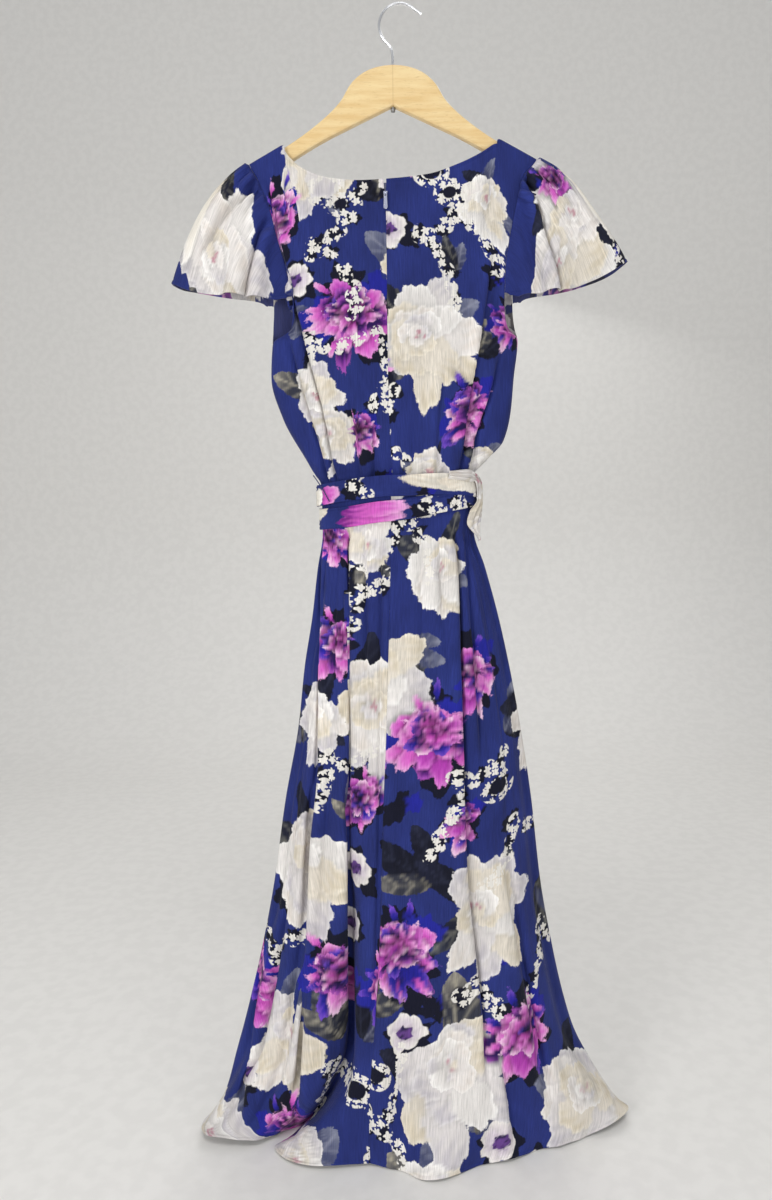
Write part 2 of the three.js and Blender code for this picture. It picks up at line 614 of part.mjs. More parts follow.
function sleeve(name, side) {
  const count = 20;
  const grid = [0, 0.12, 0.32, 0.56, 0.8, 1].map((out) =>
    Array.from({ length: count + 1 }, (_, i) => sleevePoint(side, i / count, out)),
  );
  return wall(name, cloth(CREAM), grid);
}

// ---------------------------------------------------------------- sash

const LOWER_OUT = CLOTH / 2 + SEAM + SASH_THICKNESS / 2 + 0.5; // lower turn's middle from the cloth's
const UPPER_OUT = LOWER_OUT + SASH_THICKNESS + SEAM;
const OVER_SASH = UPPER_OUT + SASH_THICKNESS / 2 + SEAM;

// Height of the middle of each turn of the sash: at the garment's middle, how much higher it is at
// the right side than there, and how much higher at both sides.
const UPPER_WRAP = { middle: -619.5, rise: 5, sides: -7.5 };
const LOWER_WRAP = { middle: -652, rise: 15, sides: 3 };

// The turned stretch, from under the upper turn over the right side down to its pointed end: angle
// round the waist, height, and how wide the folded cloth is.
const SASH_TURN = [
  { angle: 2.3, z: -609, width: 7 },
  { angle: 2.6, z: -609, width: 9 },
  { angle: 2.84, z: -613, width: 12 },
  { angle: 2.98, z: -624, width: 15 },
  { angle: 3.0, z: -642, width: 15 },
  { angle: 2.93, z: -662, width: 12 },
  { angle: 2.86, z: -683, width: 5 },
];
const SASH_TURN_RADIUS = 70; // turns a width across the stretch into an angle round the waist

const KNOT = { x: -14, z: -638, width: 38, thickness: 14, height: 34, sink: 0.85 };
const TAIL = { top: -655.2, bottom: -985, gathered: 8, sway: 3, waves: 5, ripple: 1 };
const TAILS = [
  { name: 'belt_tail_left', top: -20, bottom: -42, out: 3.6 },
  { name: 'belt_tail_right', top: -8, bottom: 6, out: 7.2 },
];

const THREAD = 0.6; // radius of the carrier's twisted thread
const CARRIER = [
  { angle: 0.1, out: 3, z: -604 },
  { angle: 0.25, out: 1.6, z: -610 },
  { angle: 0.45, out: 1, z: -622 },
  { angle: 0.62, out: 0.8, z: -640 },
];

// Point round the waist, at an angle from the left side over the back, this far outside it.
function waistPoint(angle, out, z) {
  const { left: width, back, front } = SKIRT[0];
  const [share, facing] = [-Math.cos(angle), Math.sin(angle) > 0 ? -1 : 1];
  const depth = facing < 0 ? back : front;
  return new THREE.Vector3((width + out) * share, facing * (depth + out) * section(share), z);
}

// One turn of the sash: a flat band round the waist.
function wrap(name, color, level, out) {
  const count = 36;
  const corners = [[0.5, 0.5], [-0.5, 0.5], [-0.5, -0.5], [0.5, -0.5]];
  const rings = Array.from({ length: count }, (_, i) => {
    const angle = (2 * Math.PI * i) / count;
    const share = -Math.cos(angle);
    const middle = level.middle + level.rise * share + level.sides * share * share;
    return corners.map(([up, beyond]) =>
      waistPoint(angle, out + beyond * SASH_THICKNESS, middle + up * SASH_HEIGHT),
    );
  });
  return loft(name, cloth(color), rings);
}

// The stretch starts upright along the upper turn and then leans over until it hangs down.
function sashTurn() {
  const out = OVER_SASH + CLOTH / 2 + 0.7;
  const grid = SASH_TURN.map(({ angle, z, width }, i) => {
    const lean = smooth((i - 1) / 2);
    return [-0.5, 0, 0.5].map((t) => {
      const up = t * (width * (1 - lean) - 4 * lean);
      return waistPoint(angle + (t * width * lean) / SASH_TURN_RADIUS, out, z + up);
    });
  });
  return wall('belt_turn', cloth(CREAM), grid);
}

// The sash is tied on the front: a flat knot with two hanging ends.
function sashTie() {
  const front = SKIRT[0].front + OVER_SASH;
  const knot = new THREE.SphereGeometry(0.5, 12, 6).scale(KNOT.width, KNOT.thickness, KNOT.height);
  knot.translate(KNOT.x, front + SEAM + KNOT.thickness / 2 - KNOT.sink, KNOT.z);
  return [named('belt_knot', cloth(NAVY), knot), ...TAILS.map((tail) => sashTail(tail, front))];
}

function sashTail({ name, top, bottom, out }, front) {
  const rows = 9;
  const grid = Array.from({ length: rows }, (_, i) => {
    const t = i / (rows - 1);
    const middle = mix(top, bottom, t) + TAIL.sway * Math.sin(TAIL.waves * t);
    const half = mix(TAIL.gathered, SASH_HEIGHT / 2, smooth(3 * t));
    return [-1, -0.33, 0.33, 1].map((side, j) => {
      const y = front + out + (j % 2) * TAIL.ripple;
      return new THREE.Vector3(middle + side * half, y, mix(TAIL.top, TAIL.bottom, t));
    });
  });
  return wall(name, cloth(NAVY), grid);
}

// Thread loop at the left side seam that keeps the sash in place.
function beltCarrier() {
  const points = CARRIER.map(({ angle, out, z }) => waistPoint(angle, OVER_SASH + out, z));
  return named('belt_carrier', cloth(NAVY), rod(points, THREAD, 9, 6));
}

// Round rod along a smooth curve through some points.
function rod(points, radius, steps, sides) {
  const corners = Array.from({ length: sides }, (_, i) => {
    const angle = (2 * Math.PI * i) / sides;
    return new THREE.Vector2(radius * Math.cos(angle), radius * Math.sin(angle));
  });
  const extrudePath = new THREE.CatmullRomCurve3(points, false, 'centripetal');
  const options = { steps, extrudePath, bevelEnabled: false };
  return new THREE.ExtrudeGeometry(new THREE.Shape(corners), options);
}

// ---------------------------------------------------------------- zip

const ZIP_TAPE = { top: -226, bottom: -785, width: 22, thickness: 1, inside: 0.5 };
const ZIP_HEIGHTS = [-245, -270, -310, -360, -430, -500, -545, -580, -596, -605, -618, WAIST_Z - 1,
  -655, -680, -710, -745];
const SLIDER_Z = -243;
const SLIDER = { top: 5.2, bottom: 4, length: 9, thickness: 2.2 };
const BRIDGE = { inner: 1.05, outer: 2.2, width: 1.4, foot: 1.6 }; // loop that carries the tab
const PIVOT_OUT = 3.7; // from the cloth's outer face to the tab's pivot
const TAB = { length: 20, top: 3.8, bottom: 5.2, thickness: 1.2, eye: 2.3 };

// Point of the back's middle surface, this far to the side of the centre back seam.
function centreBackPoint(z, beside) {
  if (z > WAIST_Z) {
    const width = along(BODICE_EVEN, 'z', z, 'width');
    return bodicePoint(BACK_BODICE, -1, BACK_CENTRE_SHIFT + beside / width, z);
  }
  const quarter = (Math.PI / 2) * along(SKIRT, 'z', z, 'right');
  return hangingPoint(-1, lineTurn(CENTRE_BACK, z) + beside / quarter, z);
}

// The zip's tape lies inside the seam, from the neck to the hips.
function zipTape() {
  const inside = CLOTH / 2 + SEAM + ZIP_TAPE.thickness / 2 + ZIP_TAPE.inside;
  const grid = [ZIP_TAPE.top, ...ZIP_HEIGHTS, ZIP_TAPE.bottom].map((z) =>
    [-0.5, 0, 0.5].map((side) => {
      const point = centreBackPoint(z, side * ZIP_TAPE.width);
      return point.setY(point.y + inside);
    }),
  );
  return wall('zip_tape', tape, grid, sheetNormals(grid), ZIP_TAPE.thickness);
}

// Slider and pull tab are built upright, with the tab's pivot at the origin and the cloth behind
// them, and are then tilted to lie along the back.
function slider() {
  const [top, bottom, end] = [SLIDER.top / 2, SLIDER.bottom / 2, SLIDER.length / 2];
  const body = new THREE.Shape([
    new THREE.Vector2(-top, end),
    new THREE.Vector2(top, end),
    new THREE.Vector2(bottom, -end),
    new THREE.Vector2(-bottom, -end),
  ]);
  const plate = new THREE.ExtrudeGeometry(body, { depth: SLIDER.thickness, bevelEnabled: false });
  plate.rotateX(Math.PI / 2).translate(0, PIVOT_OUT - SEAM, 0);
  const bridge = new THREE.Shape();
  bridge.moveTo(BRIDGE.foot, BRIDGE.outer);
  bridge.absarc(0, 0, BRIDGE.outer, Math.PI / 2, (3 * Math.PI) / 2, false);
  bridge.lineTo(BRIDGE.foot, -BRIDGE.outer);
  bridge.lineTo(BRIDGE.foot, -BRIDGE.inner);
  bridge.absarc(0, 0, BRIDGE.inner, (3 * Math.PI) / 2, Math.PI / 2, true);
  bridge.lineTo(BRIDGE.foot, BRIDGE.inner);
  const options = { depth: BRIDGE.width, bevelEnabled: false, curveSegments: 8 };
  const arch = new THREE.ExtrudeGeometry(bridge, options);
  arch.rotateY(Math.PI / 2).rotateX(Math.PI / 2).translate(-BRIDGE.width / 2, 0, 0);
  return named('zip_slider', enamel, fromManifold(toManifold(plate).add(toManifold(arch))));
}

function pullTab() {
  const [bar, eye, end] = [TAB.thickness / 2, TAB.eye / 2, TAB.bottom / 2];
  const outline = new THREE.Shape();
  outline.moveTo(-TAB.top / 2, bar);
  outline.lineTo(TAB.top / 2, bar);
  outline.lineTo(end, end - TAB.length);
  outline.absarc(0, end - TAB.length, end, 0, -Math.PI, true);
  outline.closePath();
  const hole = new THREE.Path();
  hole.moveTo(-eye, -bar);
  hole.lineTo(-eye, -BRIDGE.outer - 0.7);
  hole.lineTo(eye, -BRIDGE.outer - 0.7);
  hole.lineTo(eye, -bar);
  hole.closePath();
  outline.holes.push(hole);
  const options = { depth: TAB.thickness, bevelEnabled: false, curveSegments: 8 };
  const tab = new THREE.ExtrudeGeometry(outline, options);
  tab.rotateX(Math.PI / 2).translate(0, bar, 0);
  return named('zip_pull_tab', enamel, tab);
}

function toManifold(geometry) {
  const plain = geometry.clone();
  for (const attribute of ['normal', 'uv']) plain.deleteAttribute(attribute);
  const merged = mergeVertices(plain, 1e-4);
  return new wasm.Manifold(
    new wasm.Mesh({
      numProp: 3,
      vertProperties: Float32Array.from(merged.attributes.position.array),
      triVerts: Uint32Array.from(merged.index.array),
    }),
  );
}

function fromManifold(shape) {
  const { vertProperties, triVerts } = shape.getMesh();
  const geometry = new THREE.BufferGeometry();
  geometry.setAttribute('position', new THREE.BufferAttribute(vertProperties, 3));
  geometry.setIndex(new THREE.BufferAttribute(triVerts, 1));
  return geometry;
}

// ---------------------------------------------------------------- hanger

const HANGER_TOP_Z = -75;
const HANGER_APEX_Z = -126;
const STEM = { clearance: 0.3, reach: 1.5 }; // room round the hook's stem, and how far it sticks out
const NUT = { radius: 3.2, gap: 0.3 }; // the stem's riveted end

// Outline of the right arm: from the top in the middle, along the upper edge to the tip, and back
// along the lower edge. Each curve has its control point and its end.
const ARM = [
  { name: 'dome', control: [46, -76], end: [63, -110] },
  { name: 'neck', control: [71, -127], end: [111, -155.5] },
  { name: 'shoulder', control: [146, -180], end: [197, -205.2] },
  { name: 'tip', control: [206, -209.2], end: [201, -224] },
  { name: 'underside', control: [168, -211], end: [131, -191] },
  { name: 'inside', control: [100, -172], end: [75, -160.5] },
];

function hangerBody() {
  const shape = new THREE.Shape();
  shape.moveTo(0, HANGER_TOP_Z);
  for (const { control, end } of ARM) shape.quadraticCurveTo(...control, ...end);
  shape.lineTo(0, HANGER_APEX_Z);
  const [farX, farZ] = ARM[ARM.length - 1].end;
  shape.lineTo(-farX, farZ);
  for (let i = ARM.length - 1; i >= 0; i -= 1) {
    const { control } = ARM[i];
    const end = i > 0 ? ARM[i - 1].end : [0, HANGER_TOP_Z];
    shape.quadraticCurveTo(-control[0], control[1], -end[0], end[1]);
  }
  const wood = new THREE.ExtrudeGeometry(shape, {
    depth: HANGER_THICKNESS - 2 * HANGER_ROUND,
    bevelThickness: HANGER_ROUND,
    bevelSize: HANGER_ROUND,
    bevelOffset: -HANGER_ROUND,
    bevelSegments: 2,
    curveSegments: 8,
  });
  wood.rotateX(Math.PI / 2).translate(0, HANGER_THICKNESS / 2 - HANGER_ROUND, 0);
  const radius = HOOK_WIRE + STEM.clearance;
  const bore = new THREE.CylinderGeometry(radius, radius, 80, 16);
  bore.rotateX(Math.PI / 2).translate(0, 0, (HANGER_TOP_Z + HANGER_APEX_Z) / 2);
  return named('hanger_body', maple, fromManifold(toManifold(wood).subtract(toManifold(bore))));
}

// Hook: straight stem through the wood, then a round bend that ends in a short straight tip.
function hangerHook() {
  const centre = { x: HANG_OFFSET, z: HOOK_WIRE - HOOK_BEND };
  const [bendStart, bendEnd, steps, tipLength] = [220, 55, 11, 15];
  const onBend = (degrees) => {
    const angle = THREE.MathUtils.degToRad(degrees);
    const [across, up] = [HOOK_BEND * Math.cos(angle), HOOK_BEND * Math.sin(angle)];
    return new THREE.Vector3(centre.x + across, 0, centre.z + up);
  };
  const bend = Array.from({ length: steps + 1 }, (_, i) => onBend(mix(bendStart, bendEnd, i / steps)));
  const end = THREE.MathUtils.degToRad(bendEnd);
  const tangent = new THREE.Vector3(Math.sin(end), 0, -Math.cos(end));
  const points = [
    new THREE.Vector3(0, 0, HANGER_APEX_Z - STEM.reach),
    new THREE.Vector3(0, 0, -90),
    new THREE.Vector3(0, 0, -62),
    new THREE.Vector3(-2, 0, -52.5),
    ...bend,
    bend[steps].clone().addScaledVector(tangent, tipLength),
  ];
  return named('hanger_hook', steel, rod(points, HOOK_WIRE, 48, 8));
}

// The stem's riveted end under the wood.
function hangerNut() {
  const outline = [[0, 0], [0.94, 0], [1, -0.47], [0.81, -1.38], [0, -1.56]];
  const profile = outline.map(([out, up]) => new THREE.Vector2(out * NUT.radius, up * NUT.radius));
  const nut = new THREE.LatheGeometry(profile.reverse(), 16);
  nut.rotateX(Math.PI / 2).translate(0, 0, HANGER_APEX_Z - STEM.reach - NUT.gap);
  return named('hanger_nut', steel, nut);
}

// ---------------------------------------------------------------- assembly

const wasm = await Module();
wasm.setup();

// The slider's group: tilted to the slope of the back beside the tab.
const zipSeat = centreBackPoint(SLIDER_Z, 0);
const tabEnd = centreBackPoint(SLIDER_Z - TAB.length, 0);
const slope = new THREE.Vector3().subVectors(tabEnd, zipSeat);
const zipPull = new THREE.Group();
zipPull.position.set(zipSeat.x, zipSeat.y - CLOTH / 2 - SEAM - PIVOT_OUT, SLIDER_Z);
zipPull.rotation.x = Math.atan2(slope.y, -slope.z);
zipPull.add(slider(), pullTab());

const dress = new THREE.Group();
dress.position.x = -HANG_OFFSET;
dress.add(
  ...bodiceBack(),
  bodiceFront(),
  ...skirtBack(),
  skirtFront(),
  sleeve('sleeve_left', -1),
  sleeve('sleeve_right', 1),
  wrap('belt_upper_wrap', NAVY, UPPER_WRAP, UPPER_OUT),
  wrap('belt_lower_wrap', MAGENTA, LOWER_WRAP, LOWER_OUT),
  sashTurn(),
  ...sashTie(),
  beltCarrier(),
  zipTape(),
  zipPull,
  hangerBody(),
  hangerHook(),
  hangerNut(),
);

export default dress;
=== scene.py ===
"""Looks of the flutter sleeve dress on its wooden hanger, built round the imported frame.

Shapes are worked out in millimetres, with the hanger's middle at x = 0 and the rail at z = 0, and
become metres of the frame when their meshes are made. Each cloth piece is a thin wall on the
middle surface of its CAD panel, with the finer creases pressed in. The print is painted by place
on the flat cloth: u runs across a panel and v runs down it.
"""
import math
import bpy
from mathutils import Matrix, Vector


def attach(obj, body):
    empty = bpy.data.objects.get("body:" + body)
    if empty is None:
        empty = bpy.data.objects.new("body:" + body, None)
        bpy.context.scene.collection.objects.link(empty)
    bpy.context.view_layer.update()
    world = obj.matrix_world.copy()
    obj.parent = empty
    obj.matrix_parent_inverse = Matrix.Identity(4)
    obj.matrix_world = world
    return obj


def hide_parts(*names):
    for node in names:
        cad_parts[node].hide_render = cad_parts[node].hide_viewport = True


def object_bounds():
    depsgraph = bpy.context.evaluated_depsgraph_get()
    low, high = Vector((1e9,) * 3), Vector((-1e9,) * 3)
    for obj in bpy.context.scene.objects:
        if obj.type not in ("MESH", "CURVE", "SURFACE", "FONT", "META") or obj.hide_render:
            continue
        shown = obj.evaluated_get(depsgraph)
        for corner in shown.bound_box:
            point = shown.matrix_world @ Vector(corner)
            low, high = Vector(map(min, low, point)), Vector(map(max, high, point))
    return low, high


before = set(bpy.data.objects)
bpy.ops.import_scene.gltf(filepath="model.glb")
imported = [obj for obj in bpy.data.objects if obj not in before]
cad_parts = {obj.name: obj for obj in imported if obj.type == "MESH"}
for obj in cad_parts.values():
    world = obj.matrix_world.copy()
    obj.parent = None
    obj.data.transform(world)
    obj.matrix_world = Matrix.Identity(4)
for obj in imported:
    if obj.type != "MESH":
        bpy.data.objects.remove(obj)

from types import SimpleNamespace as Named

import bpy
import numpy as np
from mathutils import Matrix, Vector

cad_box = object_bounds()

# ---- driving dimensions

MM = 0.001
HANG_OFFSET = 10  # the rail is this far right of the hanger's middle
CLOTH = 0.7  # thickness of the cloth as it shows
CAD_CLOTH = 2  # thickness of the CAD walls
SEAM = 0.3  # clear gap between neighbouring pieces
SHARP_ANGLE = 55  # edges sharper than this many degrees aren't shaded round
WAIST_Z = -634
HEM_Z = -1528.5
SPILL_Z = -1395  # from here down the skirt curves out over the floor
NECK_LEFT_X = -144.2
NECK_RIGHT_X = 136.7
SHOULDER_X, SHOULDER_Z, SHOULDER_SLOPE = 135, -168, 0.54
SHOULDER_ROUND = 7  # how far down the panels round in to the shoulder seam
SHOULDER_ROUND_POWER = 2.5
SQUARENESS = 2.4  # power of the rounded sections: 2 is an ellipse, and more is squarer
CORNER_ROUND = 3  # how far the corners between neckline and shoulders are worn down

CAMERA_PLACE = (-0.0283, -1.2, -0.6508)
CAMERA_PITCH, CAMERA_ROLL = 6, 0.8  # degrees down, and degrees clockwise
CAMERA_LENS, CAMERA_SENSOR = 26, 36


def numbers(text, apart):
    """Rows of numbers in a text."""
    return [tuple(map(float, row.split())) for row in text.split(apart)]


def by_name(names, rows):
    """Columns by name from rows of numbers, sorted by the first column."""
    return dict(zip(names.split(), np.array(sorted(rows), float).T))


def table(text):
    """Columns from lines of numbers under a line with their names."""
    names, rows = text.strip().split("\n", 1)
    return by_name(names, numbers(rows, "\n"))


# ---- tables, as in the part's source

BACK_BODICE = table(f"""
    z left right depth edge
    -172 193 190 10 9
    -197 190 187 12 9
    -221 178 168 15 10
    -250 166 161 19 12
    -297 154 151 26 15
    -340 142 145 31 17
    -385 136 144 35 16
    -409 139 148 37 10
    -428 166 164 39 0
    -474 169 159 43 0
    -526 155 154 47 0
    -560 137 145 49 0
    -585 123 123 47 0
    -596 117 112 42 0
    -604 112 105 35.5 0
    -615 105 104 34 0
    {WAIST_Z} 104 104 34 0
""")
BODICE_EVEN = table(f"""
    z width
    -172 186
    -300 160
    -428 165
    -474 164
    -526 154.5
    -585 123
    -604 108
    {WAIST_Z} 104
""")
SCOOP_POWER = 5
FRONT_BODICE = table(f"""
    z left right depth edge
    -172 193 190 10 9
    -197 190 187 12 9
    -221 180 171 14 10
    -260 169 163 18 12
    -320 164 158 24 14
    -385 165 159 29 12
    -409 166 161 31 8
    -428 166 164 32 0
    -474 169 159 34 0
    -526 155 154 36 0
    -585 123 123 37 0
    -604 112 105 32 0
    -615 105 104 31 0
    {WAIST_Z} 104 104 31 0
""")
BACK_NECK = table(f"""
    x z
    {NECK_LEFT_X} -173.5
    -143.6 -178.5
    -135 -193
    -116 -208
    -84 -219
    -45 -223
    0 -221
    45 -216
    84 -203
    112 -190
    128 -180
    136 -174.5
    {NECK_RIGHT_X} -169.4
""")
FRONT_NECK = table(f"""
    x z
    {NECK_LEFT_X} -173.5
    -143.6 -178.5
    -130 -212
    -100 -250
    -55 -280
    -3 -290
    50 -279
    95 -248
    124 -209
    136 -174.5
    {NECK_RIGHT_X} -169.4
""")
SKIRT = table(f"""
    z left right back front
    {WAIST_Z} 104 104 34 31
    -682 104 104 34 31
    -732 112 119 41 33
    -799 121 137 49 34
    -867 133 152 56 35
    -954 144 168 65 36
    -1060 165 184 75 37
    -1185 185 198 86 38
    -1286 206 216 94 39
    -1362 225 233 100 40
    -1455 249 263 106 40
    -1530 262 300 108 40
""")
SKIRT_LEVELS = (-671, -860, -1060, -1250, -1440)
SKIRT_TOP, SKIRT_LOW = SKIRT_LEVELS[0], SKIRT_LEVELS[-1]
# Folds of the back skirt from left to right: places at the levels, then trough depth, half width
# and step, each at the waist and at the hem.
SKIRT_FOLDS = [
    Named(places=(-0.93, -0.86, -0.8, -0.76, -0.72), depth=(1, 15), width=(5, 11), step=(0, 0)),
    Named(places=(-0.8, -0.66, -0.58, -0.55, -0.53), depth=(3, 12), width=(5, 9), step=(2, 3)),
    Named(places=(-0.62, -0.5, -0.43, -0.42, -0.42), depth=(0, 10), width=(6, 8), step=(0, 2)),
    Named(places=(-0.43, -0.33, -0.28, -0.26, -0.25), depth=(3, 46), width=(4, 11), step=(5, 4)),
    Named(places=(-0.06, -0.08, -0.1, -0.11, -0.13), depth=(1, 5), width=(4, 8), step=(0, 3)),
    Named(places=(0.51, 0.35, 0.31, 0.3, 0.3), depth=(4, 3), width=(4, 9), step=(-6, -5)),
    Named(places=(0.78, 0.66, 0.6, 0.56, 0.55), depth=(1, 9), width=(6, 12), step=(-1, -7)),
]
CENTRE_BACK = 5
HEM = table("""
    at x y
    0 -258 0
    0.4 -291 -36
    0.9 -284 -66
    1.6 -250 -78
    2.4 -216 -80
    3.2 -190 -68
    3.6 -172 -50
    4 -150 -42
    4.2 -166 -66
    4.4 -184 -88
    4.6 -164 -112
    4.8 -118 -124
    5 -50 -119
    5.2 -16 -131
    5.45 22 -149
    6 100 -126
    6.5 165 -104
    7 222 -87
    7.4 268 -68
    7.75 322 -32
    8 302 0
""")
BODICE_LEVELS = (-330, -425, -506, -600)
BODICE_FOLDS = [
    Named(places=(-0.93, -0.72, -0.52, -0.5), step=7, width=5),
    Named(places=(0.9, 0.72, 0.63, 0.6), step=-6, width=5),
]
SLEEVE = table("""
    at seam reach y z bulge
    0 -368 8 -21 -380 1
    0.1 -335 21 -29 -375 6
    0.22 -285 44 -38 -372 14
    0.34 -235 63 -40 -370 26
    0.44 -204 84 -32 -362 38
    0.5 -190 107 -8 -350 46
    0.56 -204 95 16 -356 38
    0.66 -235 65 28 -366 24
    0.78 -285 39 29 -372 12
    0.9 -335 15 22 -376 5
    1 -376 7 15 -381 1
""")


# ---- interpolation and other helpers

TINY = 1e-9
WAVE_SPREAD = 0.6, 1.7  # shortest and longest of uneven waves, as shares of their period


def along(rows, at, column):
    """Value of a column at a place, by monotone cubic interpolation between the table's rows."""
    keys, values = rows[next(iter(rows))], rows[column]
    slopes = np.diff(values) / np.diff(keys)
    product, total = slopes[:-1] * slopes[1:], slopes[:-1] + slopes[1:]
    inner = np.where(product > 0, 2 * product / np.where(product > 0, total, 1), 0)
    tangents = np.concatenate([slopes[:1], inner, slopes[-1:]])
    at = np.clip(at, keys[0], keys[-1])
    i = np.clip(np.searchsorted(keys, at, side="right") - 1, 0, len(keys) - 2)
    h = keys[i + 1] - keys[i]
    t = (at - keys[i]) / h
    rise = (values[i + 1] - values[i]) * t * t * (3 - 2 * t)
    bend = h * t * (1 - t) * (tangents[i] * (1 - t) - tangents[i + 1] * t)
    return values[i] + rise + bend


def mix(a, b, t):
    return a + (b - a) * t


def smooth(t):
    """0 up to 0, 1 from 1 on, and an even rise between."""
    t = np.clip(t, 0, 1)
    return t * t * (3 - 2 * t)


def bell(x):
    """Bell curve: 1 at 0, and next to nothing beyond 2 on either side."""
    return np.exp(-(x**2))


def off_sides(share, over):
    """0 at a panel's sides and 1 from some way inside them on."""
    return smooth((1 - np.abs(share)) / over)


def within(value, low, over_low, high, over_high):
    """1 between two levels, fading to 0 at both, each over a stretch of its own."""
    return smooth((value - low) / over_low) * smooth((high - value) / over_high)


def circle(count):
    return np.linspace(0, 2 * np.pi, count, endpoint=False)


def squared_off(wave, power):
    """A wave between -1 and 1 with flatter crests, the flatter the smaller the power."""
    return np.sign(wave) * np.abs(wave) ** power


def unit(vectors):
    return vectors / np.maximum(np.linalg.norm(vectors, axis=-1, keepdims=True), TINY)


def section(share):
    """Level of a rounded section at a share of its half width: 1 in the middle, 0 at its sides."""
    return np.maximum(0, 1 - np.abs(share) ** SQUARENESS) ** (1 / SQUARENESS)


def fold_place(fold, levels, z):
    return along(by_name("z place", zip(levels, fold.places)), z, "place")


def points(x, y, z):
    return np.stack(np.broadcast_arrays(x, y, z), -1).astype(float)


def waves(place, period, seed, count=5):
    """Uneven waves between about -1 and 1: sines of nearby periods with phases of their own."""
    rng = np.random.default_rng(seed)
    total = sum(
        np.sin(2 * np.pi * (place / (period * rng.uniform(*WAVE_SPREAD)) + rng.uniform()))
        for _ in range(count)
    )
    return total / math.sqrt(count)


# ---- meshes and pieces

def new_mesh(name, at, quads):
    """Mesh of four-sided faces through points in millimetres, its faces turned to point out."""
    a, b, c, d = (at[quads[:, k]] for k in range(4))
    volume = np.einsum("ij,ij->i", a, np.cross(b, c)) + np.einsum("ij,ij->i", a, np.cross(c, d))
    if volume.sum() < 0:
        quads = quads[:, ::-1]
    mesh = bpy.data.meshes.new(name)
    mesh.vertices.add(len(at))
    placed = (at - (HANG_OFFSET, 0, 0)) * MM
    mesh.vertices.foreach_set("co", placed.astype(np.float32).ravel())
    mesh.loops.add(quads.size)
    mesh.loops.foreach_set("vertex_index", np.ascontiguousarray(quads, np.int32).ravel())
    mesh.polygons.add(len(quads))
    mesh.polygons.foreach_set("loop_start", np.arange(0, quads.size, 4, dtype=np.int32))
    mesh.update(calc_edges=True)
    mesh.validate()
    mesh.shade_smooth()
    return mesh


def grid_quads(rows, columns, round_rows=False, round_columns=False):
    """Faces of a grid of points, closed round on itself where that is asked for."""
    i, j = np.meshgrid(
        np.arange(rows - (not round_rows)), np.arange(columns - (not round_columns)), indexing="ij"
    )
    i, j = i.ravel(), j.ravel()
    below, beside = (i + 1) % rows, (j + 1) % columns
    corners = [i * columns + j, i * columns + beside, below * columns + beside, below * columns + j]
    return np.stack(corners, 1)


def added(name, data):
    """A new object in the scene."""
    made = bpy.data.objects.new(name, data)
    bpy.context.scene.collection.objects.link(made)
    return made


def piece(name, mesh, material, slot, node):
    """A piece that rides with the dress and stands for one of its nodes."""
    made = added(name, mesh)
    mesh.materials.append(material)
    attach(made, "dress")
    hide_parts(node)
    return made


def sheet_normals(grid, facing):
    """Direction out of a sheet at each point. On the plane of the side seams it lies in it.
    "facing" is 1 where the columns run left to right as seen from outside."""
    across = np.gradient(grid, axis=1)
    down = np.gradient(grid, axis=0)
    normal = np.cross(down, across) * facing
    on_seam = np.abs(grid[..., 1]) < SEAM
    normal[..., 1] = np.where(on_seam, 0, normal[..., 1])
    return unit(normal)


def pressed(grid, push, facing):
    """The grid with its points pushed out along the sheet's normals."""
    return grid + sheet_normals(grid, facing) * push[..., None]


def wall(name, grid, facing, thickness):
    """Thin closed wall about a grid of points: its outer side first, then its inner side."""
    rows, columns = grid.shape[:2]
    half = np.broadcast_to(thickness, (rows, columns))[..., None] / 2
    normals = sheet_normals(grid, facing) * half
    outer, inner = (grid + normals).reshape(-1, 3), (grid - normals).reshape(-1, 3)
    face = grid_quads(rows, columns)
    index = np.arange(rows * columns).reshape(rows, columns)
    rim = np.concatenate([index[0, :-1], index[:-1, -1], index[-1, :0:-1], index[:0:-1, 0]])
    following = np.roll(rim, -1)
    far = rows * columns
    edge = np.stack([following, rim, rim + far, following + far], 1)
    mesh = new_mesh(name, np.vstack([outer, inner]), np.vstack([face, face[:, ::-1] + far, edge]))
    mesh.set_sharp_from_angle(angle=math.radians(SHARP_ANGLE))
    return mesh


def cap(ring):
    """Faces across the end of a ring with an even number of points."""
    n = len(ring)
    return np.array([(ring[i], ring[i + 1], ring[n - 2 - i], ring[n - 1 - i]) for i in range(n // 2 - 1)])


def closed_rings(name, grid):
    """Mesh through rings of points, one ring a row, with both ends closed."""
    rows, columns = grid.shape[:2]
    index = np.arange(rows * columns).reshape(rows, columns)
    sides = grid_quads(rows, columns, round_columns=True)
    return new_mesh(name, grid.reshape(-1, 3), np.vstack([sides, cap(index[0][::-1]), cap(index[-1])]))


def tube(name, path, radius, sides=10):
    """Closed round tube along a path of points."""
    ahead = unit(np.gradient(path, axis=0))
    aside = unit(np.cross(ahead, (0.31, 0.87, 0.38)))  # any direction that the path never takes
    over = np.cross(ahead, aside)
    turn = circle(sides)[None, :, None]
    ring = aside[:, None] * np.cos(turn) + over[:, None] * np.sin(turn)
    return closed_rings(name, path[:, None] + radius * ring)


# A crease's lip and how it leans over the trough: distance and width in half widths of the trough.
LIP = Named(away=2.1, width=1.4)
LEAN = Named(away=1.3, width=1.3, reach=1.5)
HIDDEN = Named(by=3, change=1.5)  # how much cloth a lip hides, and how fast across the trough


